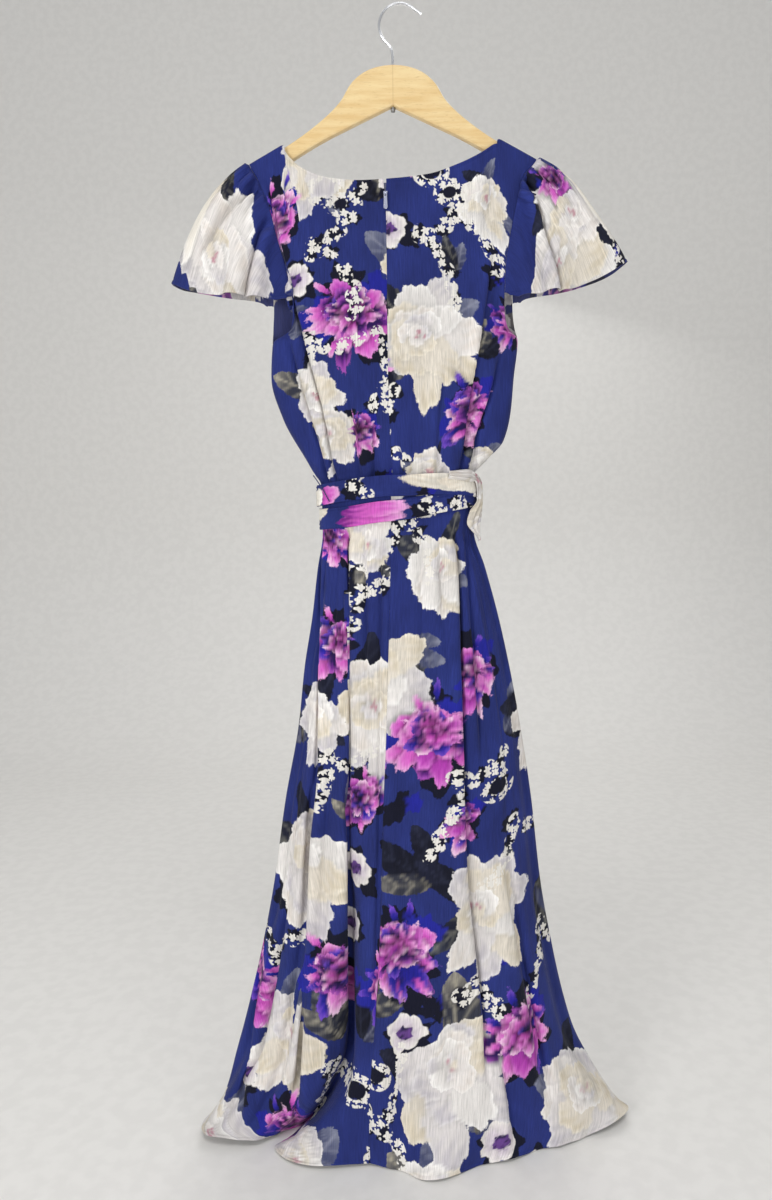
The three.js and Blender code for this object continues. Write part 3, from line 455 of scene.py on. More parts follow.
def creases(place, height, rows):
    """Soft troughs pressed into a sheet: how far they push it out, and across, and how much cloth
    they hide up to each place. A lip is how proud the cloth stands beside a trough, left of it or,
    if negative, right of it, and it leans over the trough. A trough fades at its path's ends."""
    push, shift, hidden = 0, 0, 0
    for path, depth, width, lip, fade in rows:
        line = by_name("height place", path)
        low, high = line["height"][0], line["height"][-1]
        share = within(height, low, fade, high, fade)
        beside = (place - along(line, height, "place")) / width
        side = np.sign(lip)
        ridge = abs(lip) * bell((beside + LIP.away * side) / LIP.width)
        push = push + share * (ridge - depth * bell(beside))
        shift = shift + LEAN.reach * lip * share * bell((beside + LEAN.away * side) / LEAN.width)
        hidden = hidden + HIDDEN.by * abs(lip) * share * np.tanh(HIDDEN.change * beside)
    return push, shift, hidden


# ---- bodice surfaces

OPEN_EDGE = 7  # a panel whose side stands this far out doesn't round in there
FOLD_REACH, FOLD_SIDE = (-607, 25, -300, 90), 0.15  # where the folds fade out
TOP_START, TOP_ROUNDS = -200.0, 12  # where the search for a panel's top starts, and its rounds
ARM_LOW_Z = -366
UPPER_SPAN = 170  # about how far it is from the neck's edge down to there
UNDER_EDGE = (26, 22, 18, 14.5, 11.5, 9, 7, 5.4, 4, 2.8, 1.8, 1, 0.4, 0)  # rows under the edge
NECK_END = (0.7444, 0.7461, 0.7478, 0.75)  # close columns at the neck's corner
BESIDE_NECK_END = 0.005
CENTRE_SHIFT = 0.07  # the middle columns hang this share of the half width to the left


def shoulder_z(x):
    return SHOULDER_Z - (np.abs(x) - SHOULDER_X) * SHOULDER_SLOPE


def bodice_x(panel, share, z):
    edge = np.where(share < 0, along(panel, z, "left"), along(panel, z, "right"))
    even = along(BODICE_EVEN, z, "width")
    return share * even + np.sign(share) * (edge - even) * np.abs(share) ** SCOOP_POWER


def bodice_folds(share, z):
    """How far the two long folds of the back bodice draw the cloth in."""
    fade = within(z, *FOLD_REACH) * off_sides(share, FOLD_SIDE)
    width = along(BODICE_EVEN, z, "width")
    total = 0
    for fold in BODICE_FOLDS:
        beyond = (share - fold_place(fold, BODICE_LEVELS, z)) * width / fold.width
        level = 0.5 + 0.5 * np.tanh(beyond)
        total = total + fold.step * fade * (level - 1 if fold.step > 0 else level)
    return total


def bodice_point(panel, facing, share, z):
    """Middle surface of a bodice panel. "facing" is -1 for the back and 1 for the front."""
    x = bodice_x(panel, share, z)
    edge, depth = along(panel, z, "edge"), along(panel, z, "depth")
    power = mix(1 / SQUARENESS, 1, smooth(edge / OPEN_EDGE))
    crown = np.maximum(0, 1 - np.abs(share) ** SQUARENESS) ** power
    folded = bodice_folds(share, z) if facing < 0 else 0
    below = np.clip((shoulder_z(x) - z) / SHOULDER_ROUND, 0, 1)
    rounding = (1 - (1 - below) ** SHOULDER_ROUND_POWER) ** (1 / SHOULDER_ROUND_POWER)
    return points(x, facing * (mix(edge, depth, crown) + folded) * rounding, z)


def bodice_top(panel, neck, share):
    """Height at which a column of a panel ends, on the neck edge or on the shoulder seam."""
    z = np.full(np.shape(share), TOP_START)
    for _ in range(TOP_ROUNDS):
        x = bodice_x(panel, share, z)
        in_neck = (x > NECK_LEFT_X) & (x < NECK_RIGHT_X)
        z = np.where(in_neck, along(neck, x, "z"), shoulder_z(x))
    beside = np.minimum(np.abs(x - NECK_LEFT_X), np.abs(x - NECK_RIGHT_X))
    return z - CORNER_ROUND * bell(beside / CORNER_ROUND)


def bodice_grid(panel, neck, facing, shares, spacing):
    """Grid of a panel, from its neck and shoulder edge down to the waist seam."""
    shares = shares - CENTRE_SHIFT * (1 - np.abs(shares))
    tops = bodice_top(panel, neck, shares)
    edge = tops - np.array(UNDER_EDGE)[::-1, None]
    span = int(UPPER_SPAN / spacing)
    way = mix(edge[-1], ARM_LOW_Z, np.arange(1, span)[:, None] / span)
    low_count = int((ARM_LOW_Z - WAIST_Z) / spacing)
    low = np.linspace(ARM_LOW_Z, WAIST_Z, low_count)[:, None] + 0 * tops
    z = np.vstack([edge, way, low])
    grid = bodice_point(panel, facing, shares[None, :] + 0 * z, z)
    grid[..., 1] += facing * SEAM / 2
    grid[-1, :, 2] += SEAM / 2
    return grid


def even_shares(count):
    """Shares from the middle to a side, even but for the close ones at the neck's corner."""
    shares = np.linspace(0, 1, count)
    free = np.abs(shares - np.mean(NECK_END)) > BESIDE_NECK_END
    return np.sort(np.concatenate([shares[free], NECK_END]))


# ---- skirt surfaces

SIDE_FADE, TOP_FADE = 0.08, 40  # folds fade towards the side seams and, in millimetres, the waist
FRONT_RIPPLE = Named(waves=15, start=1, waist=0.5, hem=4.5)
TURN_STEP = 0.004  # beside a place, to find which way the skirt faces there
SPILL_POWER = 2.2  # how suddenly the skirt curves out
SIDE_POWER = 6  # how near the side seams the front's hem joins the back's
FRONT_HEM = Named(sides=0.7, even=0.3)  # how far the front's hem spreads: at its sides, and evenly


def back_folds(turn, z, down, quarter):
    """How far the folds of the back skirt push the cloth out, or in where negative."""
    total = 0
    for fold in SKIRT_FOLDS:
        distance = (turn - fold_place(fold, SKIRT_LEVELS, z)) * quarter
        across = distance / mix(*fold.width, down)
        step = mix(*fold.step, down)
        trough = mix(*fold.depth, down**1.5) * bell(across)
        total = total - trough + step * (0.5 + 0.5 * np.tanh(across)) - np.maximum(step, 0)
    return total


def way_down(z):
    """Share of the way from the skirt's top level to its lowest one."""
    return np.clip((SKIRT_TOP - z) / (SKIRT_TOP - SKIRT_LOW), 0, 1)


def way_out(z):
    """Share of the way down the stretch that curves out over the floor."""
    return np.clip((SPILL_Z - z) / (SPILL_Z - HEM_Z), 0, 1)


def hanging_point(facing, turn, z):
    """Middle surface of the hanging skirt. "turn" is -1 and 1 at its side seams."""
    width = np.where(turn < 0, along(SKIRT, z, "left"), along(SKIRT, z, "right"))
    depth = along(SKIRT, z, "back" if facing < 0 else "front")

    def at(place):
        share = np.sin(place * np.pi / 2)
        return points(width * share, facing * depth * section(share), z)

    down = way_down(z)
    quarter = (np.pi / 2) * np.hypot(width, depth) * math.sqrt(0.5)
    if facing < 0:
        push = back_folds(turn, z, down, quarter)
    else:
        ripple = FRONT_RIPPLE
        push = -mix(ripple.waist, ripple.hem, down) * (1 + np.sin(turn * ripple.waves + ripple.start))
    fade = off_sides(turn, SIDE_FADE) * smooth((SKIRT_TOP - z) / TOP_FADE)
    along_row = at(turn + TURN_STEP) - at(turn - TURN_STEP)
    normal = unit(points(-along_row[..., 1], along_row[..., 0], 0))
    return at(turn) + normal * (facing * push * fade)[..., None]


def spilled(grid, z, hem_x, hem_y):
    """The lowest stretch of the skirt curves out to its hem on the floor."""
    lean = way_out(z) ** SPILL_POWER
    return points(mix(grid[..., 0], hem_x, lean), mix(grid[..., 1], hem_y, lean), z)


def skirt_back_grid(at, z):
    """Grid of the back skirt: "at" counts fold lines from the left side seam."""
    z = z[:, None]
    lines = [-1 + 0 * z] + [fold_place(fold, SKIRT_LEVELS, z) for fold in SKIRT_FOLDS] + [1 + 0 * z]
    lines = np.hstack(lines)
    line = np.minimum(np.floor(at).astype(int), len(SKIRT_FOLDS))
    turn = mix(lines[:, line], lines[:, line + 1], at - line)
    z = z + 0 * turn
    grid = spilled(hanging_point(-1, turn, z), z, along(HEM, at, "x"), along(HEM, at, "y"))
    grid[..., 1] -= SEAM / 2
    grid[0, :, 2] -= SEAM / 2
    return grid, turn, z


def skirt_front_grid(turn, z):
    turn, z = np.meshgrid(turn, z)
    side_x = np.where(turn < 0, -HEM["x"][0], HEM["x"][-1])
    hang = hanging_point(1, turn, HEM_Z + 0 * z)
    share = np.abs(turn) ** SIDE_POWER
    hem_x = mix(hang[..., 0], side_x * turn, FRONT_HEM.sides * share + FRONT_HEM.even * turn * turn)
    grid = spilled(hanging_point(1, turn, z), z, hem_x, mix(hang[..., 1], 0, share))
    grid[..., 1] += SEAM / 2
    grid[0, :, 2] -= SEAM / 2
    return grid, turn, z


# ---- sleeves

SLEEVE_GAP = 0.6  # between the armhole's edge and the sleeve's
NEXT_ROW = 2  # down the armhole's edge, to find which way it faces
FLUTES = Named(count=4.5, height=5)  # soft waves of the sleeve's hem
BULGE = Named(start=0.35, out=0.55, apart=0.12, up=0.75)  # where and how the bulge pushes
FRONT_HEM_RAISED = 9  # how much shorter the hidden half of a sleeve hangs
END_RAISED, END_SPAN = 7, 0.08  # and how much shorter its ends are, under the arm
# The right sleeve's hem flares up and out at its outermost place.
RIGHT_TIP = Named(at=0.49, width=0.075, up=20, out=15, start=0.6, span=0.5)
# Gathers at the sleeve's head: where, how wide, how proud, how deep and how many.
GATHERS = Named(at=0.46, span=0.22, proud=5, depth=3, count=25, uneven=2, beat=40)
GATHERS_FADE = Named(seam=0.04, power=5)
DRAPE = Named(depth=3.6, period=0.3, seed=15, start=0.4)


def sleeve_grid(side, at, out):
    """Middle surface of a sleeve: "at" runs along the armhole, "out" from the seam to the hem."""
    at, out = np.meshgrid(at, out)
    tip = bodice_top(BACK_BODICE, BACK_NECK, np.float64(side))
    seam_z = np.minimum(along(SLEEVE, at, "seam"), tip - 0.01)
    share = side + 0 * at

    def on_bodice(z):
        back = bodice_point(BACK_BODICE, -1, share, z)
        front = bodice_point(FRONT_BODICE, 1, share, z)
        return np.where(at[..., None] < 0.5, back, front)

    seam, following = on_bodice(seam_z), on_bodice(seam_z - NEXT_ROW)
    outward = points(2 * side, 0, np.abs(following[..., 0]) - np.abs(seam[..., 0]))
    start = seam + SLEEVE_GAP * outward / np.linalg.norm(outward, axis=-1, keepdims=True)
    facing = np.where(at < 0.5, -1, 1)
    flute = facing * FLUTES.height * np.sin(at * 2 * np.pi * FLUTES.count) * np.sin(at * np.pi)
    tip_share = (side > 0) * bell((at - RIGHT_TIP.at) / RIGHT_TIP.width)
    shorter = FRONT_HEM_RAISED * np.sin(np.pi * np.clip(2 * at - 1, 0, 1))
    at_end = 1 - smooth(np.minimum(at, 1 - at) / END_SPAN)
    hem = points(
        seam[..., 0] + side * along(SLEEVE, at, "reach"), along(SLEEVE, at, "y") + flute,
        along(SLEEVE, at, "z") + shorter + END_RAISED * at_end + RIGHT_TIP.up * tip_share,
    )
    push = points(side * BULGE.out + 0 * at, facing * BULGE.apart, BULGE.up)
    control = mix(start, hem, BULGE.start) + push * along(SLEEVE, at, "bulge")[..., None]
    t = out[..., None]
    grid = start * (1 - t) ** 2 + control * 2 * t * (1 - t) + hem * t**2
    grid[..., 0] += RIGHT_TIP.out * tip_share * smooth((out - RIGHT_TIP.start) / RIGHT_TIP.span)
    gathered = smooth(1 - np.abs(at - GATHERS.at) / GATHERS.span)
    fade = smooth(out / GATHERS_FADE.seam) * (1 - out) ** GATHERS_FADE.power
    pleat = np.sin(at * 2 * np.pi * GATHERS.count + GATHERS.uneven * np.sin(at * GATHERS.beat))
    gathers = gathered * fade * (GATHERS.proud + GATHERS.depth * pleat)
    drape = DRAPE.depth * waves(at, DRAPE.period, DRAPE.seed + int(side))
    drape = drape * smooth(out / DRAPE.start) * np.sin(at * np.pi)
    return pressed(grid, gathers + drape, side), at, out


# ---- sash surfaces

SASH_HEIGHT, SASH_THICKNESS = 28, 3
SASH_CLEAR = 0.5  # how far the lower turn stands off the cloth under it
LOWER_OUT = CAD_CLOTH / 2 + SEAM + SASH_THICKNESS / 2 + SASH_CLEAR
UPPER_OUT = LOWER_OUT + SASH_THICKNESS + SEAM
OVER_SASH = UPPER_OUT + SASH_THICKNESS / 2 + SEAM
FRONT_OF_SASH = SKIRT["front"][-1] + OVER_SASH
# Height of the middle of each turn of the sash: at the garment's middle, how much higher it is at
# the right side than there, and how much higher at both sides.
UPPER_WRAP = Named(middle=-619.5, rise=5, sides=-7.5)
LOWER_WRAP = Named(middle=-652, rise=15, sides=3)
WRAP_ROUNDS = Named(up=0.8, out=0.35)  # how round the band's section is: 1 is a circle
PLEATS = ((0.2, 1.3), (-0.14, 1.1), (0.36, 0.7), (-0.33, 0.8))  # share of the height, and depth
PLEAT_WIDTH, PLEAT_SCALE = 0.045, 1.1
DRIFT, SECOND_DRIFT, DRIFT_SHIFT = 0.16, 0.06, 0.21  # how the pleats rise and fall round the waist
WRAP_EDGE = Named(height=0.6, period=90, seed=3, around=560)
SASH_TURN = table("""
    at angle z width
    0 2.2 -607 9
    1 2.5 -607.5 15
    2 2.74 -611 20
    3 2.9 -623 22
    4 2.93 -641 20
    5 2.79 -658 28
    6 2.72 -674 27
    7 2.83 -694 4
""")
KNOT = Named(x=-14, z=-638, width=38, thickness=14, height=34, sink=0.85)
TAIL = Named(top=-655.2, bottom=-985, gathered=8, sway=3, waves=5, ripple=1)
TAILS = {
    "belt_tail_left": Named(top=-20, bottom=-42, out=3.6, seed=107),
    "belt_tail_right": Named(top=-8, bottom=6, out=7.2, seed=109),
}


def waist_point(angle, out, z):
    """Point round the waist, at an angle from the left side over the back, this far outside it."""
    share = -np.cos(angle)
    back = np.sin(angle) > 0
    depth = np.where(back, SKIRT["back"][-1], SKIRT["front"][-1])
    width = SKIRT["left"][-1]
    x = (width + out) * share
    return points(x, np.where(back, -1, 1) * (depth + out) * section(share), z)


def wrap_grid(level, out, seed):
    """One turn of the sash: a band folded lengthwise, closed round the waist."""
    angle, around = circle(420)[:, None], circle(44)[None, :]
    share = -np.cos(angle)
    middle = level.middle + level.rise * share + level.sides * share**2
    up = squared_off(np.sin(around), WRAP_ROUNDS.up) * 0.5
    beyond = squared_off(np.cos(around), WRAP_ROUNDS.out) * 0.5
    outside = smooth(beyond * 4)
    turn = angle / (2 * np.pi)
    drift = DRIFT * np.sin(2 * np.pi * (turn + seed * DRIFT_SHIFT))
    drift = drift + SECOND_DRIFT * np.sin(6 * np.pi * turn + seed)
    pleats = 0
    for place, depth in PLEATS:
        pleats = pleats - depth * bell((up - place - drift) / PLEAT_WIDTH)
    edge = WRAP_EDGE.height * waves(turn * WRAP_EDGE.around, WRAP_EDGE.period, seed + WRAP_EDGE.seed)
    grid = waist_point(
        angle, out + beyond * SASH_THICKNESS + pleats * outside * PLEAT_SCALE,
        middle + up * SASH_HEIGHT + edge * np.abs(up) * 2,
    )
    return grid, angle + 0 * around, up + 0 * angle


# ---- the print

def linear(*rgb):
    """Linear colour from one given as the screen shows it, 0 to 255."""
    c = np.array(rgb, float) / 255
    return np.where(c <= 0.04045, c / 12.92, ((c + 0.055) / 1.055) ** 2.4)


def tone_rows(text):
    """Petals' tones, one petal a line: at its foot, in the middle, at the tip and along the rim."""
    return [[linear(*colour) for colour in numbers(row, ",")] for row in text.strip().split("\n")]


NAVY = linear(35, 46, 110)
ROYAL = linear(30, 34, 140)
DARK = linear(12, 14, 34)
BLOSSOM = linear(222, 218, 211)
LAYERS = 6
FINE_LAYER = 3  # from here on the layers hold open flowers, with cleaner edges
SPRINKLED = 5  # the last one holds where the cloth is sprinkled with small blossoms
BLOSSOM_SPACING = 11.5
BLOSSOM_RADII = 3.6, 6.2  # between its petals, and at their tips
REACH = 12.0  # a layer keeps its distance to the shape's edge up to this many millimetres
WHOLE_TURN = 6.3  # random directions and phases are drawn from 0 to this, in radians
CREAM = tone_rows("""
    190 184 180, 216 212 208, 226 222 218, 243 241 238
    190 181 166, 214 206 193, 204 193 172, 232 225 211
    188 182 180, 212 207 205, 190 185 190, 228 225 224
    196 184 180, 220 215 211, 214 206 198, 240 237 233
""")
PINK = tone_rows("""
    104 24 118, 196 76 178, 208 106 194, 222 150 210
    122 36 132, 204 92 186, 216 130 202, 228 176 214
    70 26 116, 168 58 164, 196 88 186, 212 132 204
    152 52 142, 210 116 194, 224 168 210, 236 206 226
    16 16 76, 30 28 140, 70 44 170, 128 84 196
    12 10 30, 40 18 82, 108 36 138, 176 88 182
""")
# Painted light, in part: this cream is the print's cream made brighter than the others, as where the
# sash's cream catches the light; the long pale petals use it on the sash and the sleeves.
PALE, = tone_rows("214 204 188, 234 228 216, 238 232 222, 246 243 238")
LILAC = tone_rows("""
    150 128 156, 206 196 204, 224 218 214, 230 226 221
    138 122 156, 212 204 206, 220 214 210, 228 224 219
""")
LEAF = tone_rows("""
    12 14 28, 24 27 44, 54 58 72, 150 148 136
    16 17 30, 50 52 64, 124 120 114, 206 198 174
    34 38 72, 68 73 104, 112 116 138, 160 162 176
    8 10 22, 13 15 32, 24 27 48, 50 54 76
""")
# Rings of a bloom, the outermost first: petals, reach, width and foot as shares of its size, layer.
CREAM_RINGS = ((8, 1, 0.66, 0.1, 1), (6, 0.7, 0.62, 0, 1), (5, 0.4, 0.42, 0, 2), (4, 0.2, 0.22, 0, 2))
PINK_RINGS = (
    (8, 1, 0.5, 0.25, 1), (9, 0.8, 0.46, 0.2, 1), (8, 0.6, 0.38, 0.1, 2), (6, 0.42, 0.3, 0, 2),
    (4, 0.24, 0.2, 0, 2),
)
# Patches behind a pink bloom: direction, distance and size as shares of its size, colour.
PINK_PATCHES = (
    (0.9, 0.4, 0.85, DARK), (2.9, 0.5, 0.62, ROYAL), (4.4, 0.6, 0.5, DARK), (5.6, 0.7, 0.42, ROYAL),
)
# Uneven outlines: height and number of waves round a petal and round a patch.
PETAL_WAVES = ((0.06, 3), (0.06, 7), (0.035, 15))
PATCH_WAVES = ((0.22, 2), (0.18, 5), (0.12, 11))


def shaded(tones, out):
    """Colour along a petal: its tones from foot over middle to tip."""
    out = np.clip(out, 0, 1)[:, None]
    return mix(mix(tones[0], tones[1], smooth(out * 2.2)), tones[2], smooth(out * 2.4 - 1.4))


class Painted:
    """The print on one piece of cloth: some layers, each with a colour and a distance inside its
    shapes' edges for every point."""

    def __init__(self, u, v, seed):
        self.rng = np.random.default_rng(seed)
        self.u, self.v = u.ravel(), v.ravel()
        self.colour = np.tile(NAVY, (LAYERS, self.u.size, 1))
        self.inside = np.full((LAYERS, self.u.size), -REACH)

    def draw(self, low=0.0, high=1.0):
        return self.rng.uniform(low, high)

    def direction(self):
        return self.draw(0, WHOLE_TURN)

    def near(self, u, v, reach):
        at = np.nonzero((np.abs(self.u - u) < reach) & (np.abs(self.v - v) < reach))[0]
        return at, self.u[at] - u, self.v[at] - v

    def lay(self, layer, at, inside, colour, shade=0.0):
        """Lays a shape over what a layer holds, which it shades beside the shape's edge."""
        before = self.inside[layer, at]
        beside = np.clip(1 + inside / 6, 0, 1) * (inside < 0) * (before > 0)
        kept = self.colour[layer, at] * (1 - shade * beside)[:, None]
        over = np.where(before > 0, np.clip(inside / 1.6 + 0.5, 0, 1), inside > before)
        self.colour[layer, at] = mix(kept, colour, over[:, None])
        self.inside[layer, at] = np.maximum(before, inside)

    def plain(self, layer, at, inside, colour):
        if at.size:
            self.lay(layer, at, inside, colour + 0 * inside[:, None])

    def blade(self, layer, u, v, turn, reach, width, tones, foot=0.0, shade=0.3, ragged=1.0):
        """A petal, or another rounded blade, that runs from its foot outwards."""
        at, du, dv = self.near(u, v, reach * 1.3 + REACH)
        if not at.size:
            return
        a = du * math.sin(turn) + dv * math.cos(turn) - foot
        b = du * math.cos(turn) - dv * math.sin(turn)
        length = reach - foot
        a_mid = a - 0.52 * length
        phi = np.arctan2(b / width, a_mid / length)
        phases = self.rng.uniform(0, WHOLE_TURN, 4)
        rows = zip(PETAL_WAVES, phases)
        wave = sum(size * np.sin(turns * phi + phase) for (size, turns), phase in rows)
        radius = np.hypot(a_mid / (0.52 * length), b / (0.5 * width))
        inside = (1 + ragged * wave - radius) * 0.5 * min(length, width)
        out = a / length
        veins = np.sin(b / width * 22 + 3 * np.sin(a / 11 + phases[3]) + phases[0])
        tone = shaded(tones, out + 0.1 * veins)
        rim = np.clip(1 - inside / 5, 0, 1) * smooth(out * 1.6 - 0.5)
        self.lay(layer, at, inside, mix(tone, tones[3], (0.75 * rim)[:, None]), shade)

    def bloom(self, u, v, size, turn, tones, rings, shade):
        """A many-petalled flower, its outer petals first and longest in the direction "turn"."""
        turn = math.radians(turn)
        for ring, (count, reach, width, foot, layer) in enumerate(rings):
            first = self.direction()
            for k in range(count):
                angle = first + (k + self.draw(-0.3, 0.3)) * 2 * math.pi / count
                long = 1 + 0.3 * math.cos(angle - turn) * (ring < 2)
                self.blade(
                    layer, u, v, angle, size * reach * long * self.draw(0.8, 1.15),
                    size * width * self.draw(0.75, 1.25), tones[self.rng.integers(len(tones))],
                    size * foot, shade,
                )

    def spot(self, layer, u, v, size, colour):
        at, du, dv = self.near(u, v, size + REACH)
        self.plain(layer, at, size - np.hypot(du, dv), colour)

    def dots(self, layer, u, v, spread, count, size, colour):
        for _ in range(count):
            angle, out = self.direction(), spread * math.sqrt(self.draw())
            place = u + out * math.cos(angle), v + out * math.sin(angle)
            self.spot(layer, *place, size * self.draw(0.7, 1.3), colour)

    def patch(self, u, v, size, colour, layer=0):
        """A ragged patch of one colour."""
        at, du, dv = self.near(u, v, size * 1.6 + REACH)
        if at.size:
            phi = np.arctan2(dv, du)
            wave = sum(high * np.sin(turns * phi + self.direction()) for high, turns in PATCH_WAVES)
            self.plain(layer, at, (size * (1 + wave) - np.hypot(du, dv)) * 0.8, colour)

    def cream(self, u, v, size, turn):
        """A large pale bloom with wide ruffled petals, and dark leaves behind it."""
        for k in range(3):
            angle = turn + 60 + k * 95 + self.draw(-20, 20)
            self.leaf(u, v, size * self.draw(1.15, 1.4), angle)
        self.bloom(u, v, size, turn, CREAM, CREAM_RINGS, 0.12)
        self.dots(2, u, v, size * 0.1, 7, 1.8, linear(186, 140, 150))

    def pink(self, u, v, size, turn):
        """A dense many-coloured bloom with dark slits between its petals."""
        for angle, out, reach, colour in PINK_PATCHES:
            angle += math.radians(turn)
            place = u + size * out * math.cos(angle), v + size * out * math.sin(angle)
            self.patch(*place, size * reach, colour)
        self.bloom(u, v, size, turn, PINK, PINK_RINGS, 0.5)
        for _ in range(14):
            angle = self.direction()
            tones = PINK[5] if self.draw() < 0.6 else PINK[3]
            reach = size * self.draw(0.5, 0.85)
            self.blade(2, u, v, angle, reach, size * 0.1, tones, reach * 0.5, 0.2)
        for _ in range(7):
            reach = size * self.draw(0.95, 1.3)
            tones = PINK[4] if self.draw() < 0.5 else PINK[1]
            angle = self.direction()
            self.blade(1, u, v, angle, reach, size * 0.16, tones, reach * 0.6, 0.2)

    def spray(self, u, v, size, turn):
        """Small white blossoms strung along bent twigs over dark patches."""
        for branch in range(2):
            bend = self.draw(0.8, 1.8) * (1 if branch else -1)
            count = int(size / 7)
            angle = math.radians(turn) + branch * 0.5
            cu, cv = u - size * 0.5 * math.sin(angle), v - size * 0.5 * math.cos(angle)
            for k in range(count):
                angle += bend / count
                cu, cv = cu + 11 * math.sin(angle), cv + 11 * math.cos(angle)
                if k % 3 == 0:
                    self.patch(cu + self.draw(-6, 6), cv + self.draw(-6, 6), 9, DARK)
                place = cu + self.draw(-5, 5), cv + self.draw(-5, 5)
                self.spot(SPRINKLED, *place, self.draw(7, 11), BLOSSOM)

    def wreath(self, u, v, size, turn):
        """A ring of small white blossoms round a dark middle."""
        self.patch(u, v, size * 0.75, DARK)
        at, du, dv = self.near(u, v, size * 1.5 + REACH)
        self.plain(SPRINKLED, at, 6.5 - np.abs(np.hypot(du, 1.2 * dv) - size), BLOSSOM)

    def small(self, u, v, size, turn):
        """An open flower with rounded petals and a dark heart."""
        self.patch(u + 5, v + 4, size * 1.05, DARK)
        first = self.direction()
        for k in range(7):
            angle, reach = first + k * 2 * math.pi / 7, size * self.draw(0.88, 1.1)
            self.blade(3, u, v, angle, reach, size * 0.8, LILAC[k % 2], 0, 0.16, 0.8)
        self.patch(u, v, size * 0.34, linear(96, 62, 128), layer=4)
        self.dots(4, u, v, size * 0.4, 12, 1.7, linear(38, 32, 66))

    def leaf(self, u, v, size, turn):
        """A pointed leaf with a rib and veins."""
        tones = LEAF[self.rng.integers(len(LEAF))]
        at, du, dv = self.near(u, v, size + REACH)
        if not at.size:
            return
        turn = math.radians(turn)
        a = (du * math.sin(turn) + dv * math.cos(turn)) / size
        bow = size * self.draw(-0.5, 0.5) * a * (1 - a)
        b = du * math.cos(turn) - dv * math.sin(turn) + bow
        half = size * self.draw(0.16, 0.24) * np.maximum(0, 4 * a * (1 - a)) ** 0.8
        inside = np.where((a > 0) & (a < 1), half - np.abs(b), -REACH) * 0.85
        rib = bell(b / 1.5) + 0.6 * np.clip(np.sin(a * 24 - np.abs(b) * 0.3), 0, 1) ** 2
        tone = mix(shaded(tones, a), tones[3], (0.4 * np.clip(rib, 0, 1))[:, None])
        self.lay(0, at, inside, tone, 0.3)

    def stem(self, u, v, size, turn):
        """A fan of dark leaves."""
        for k in (-1, 0, 1):
            self.leaf(u, v, size * (1 - 0.12 * abs(k)), turn + 34 * k + self.draw(-8, 8))

    def strip(self, u, v, size, turn):
        """A long pale petal, as a narrow fold of the print shows, in the brighter cream that is partly
        painted light.
        """
        self.blade(1, u, v, math.radians(turn), size, 26, PALE, ragged=0.6)

    def rosy(self, u, v, size, turn):
        """A long streaky petal."""
        self.blade(1, u, v, math.radians(turn), size, 24, PINK[1])

    def dark(self, u, v, size, turn):
        """A dark patch with a royal blue one beside it."""
        self.patch(u, v, size, DARK)
        self.patch(u + size, v - size * 0.4, size * 0.6, ROYAL)

    def arrange(self, motifs):
        for kind, u, v, size, turn in motifs:
            getattr(self, kind)(u, v, size, turn)


def write_print(mesh, painted, u, v, sides):
    """Stores the print's layers and the place on the flat cloth on the points of a mesh."""
    for layer in range(LAYERS):
        store = mesh.attributes.new(f"print{layer}", "FLOAT_COLOR", "POINT")
        alpha = 0.5 + np.clip(painted.inside[layer], -REACH, REACH) / (2 * REACH)
        one = np.column_stack([painted.colour[layer], alpha])
        store.data.foreach_set("color", np.tile(one, (sides, 1)).astype(np.float32).ravel())
    place = np.column_stack([u.ravel(), v.ravel(), 0 * u.ravel()])
    whole = np.vstack([place + (0, 0, side) for side in range(sides)])
    store = mesh.attributes.new("cloth", "FLOAT_VECTOR", "POINT")
    store.data.foreach_set("vector", whole.astype(np.float32).ravel())


# ---- materials

# Outputs of nodes: an attribute's colour, vector and alpha, a vector's length, the nearest of
# scattered points, and the place in the object itself.
COLOUR_OUT, VECTOR_OUT, ALPHA_OUT, LENGTH_OUT, NEAREST_OUT, OBJECT_PLACE = 0, 1, 3, 1, 2, 3
ACROSS, DOWN, INNER = 0, 1, 2  # parts of a place on the cloth, the last 1 on its inner side


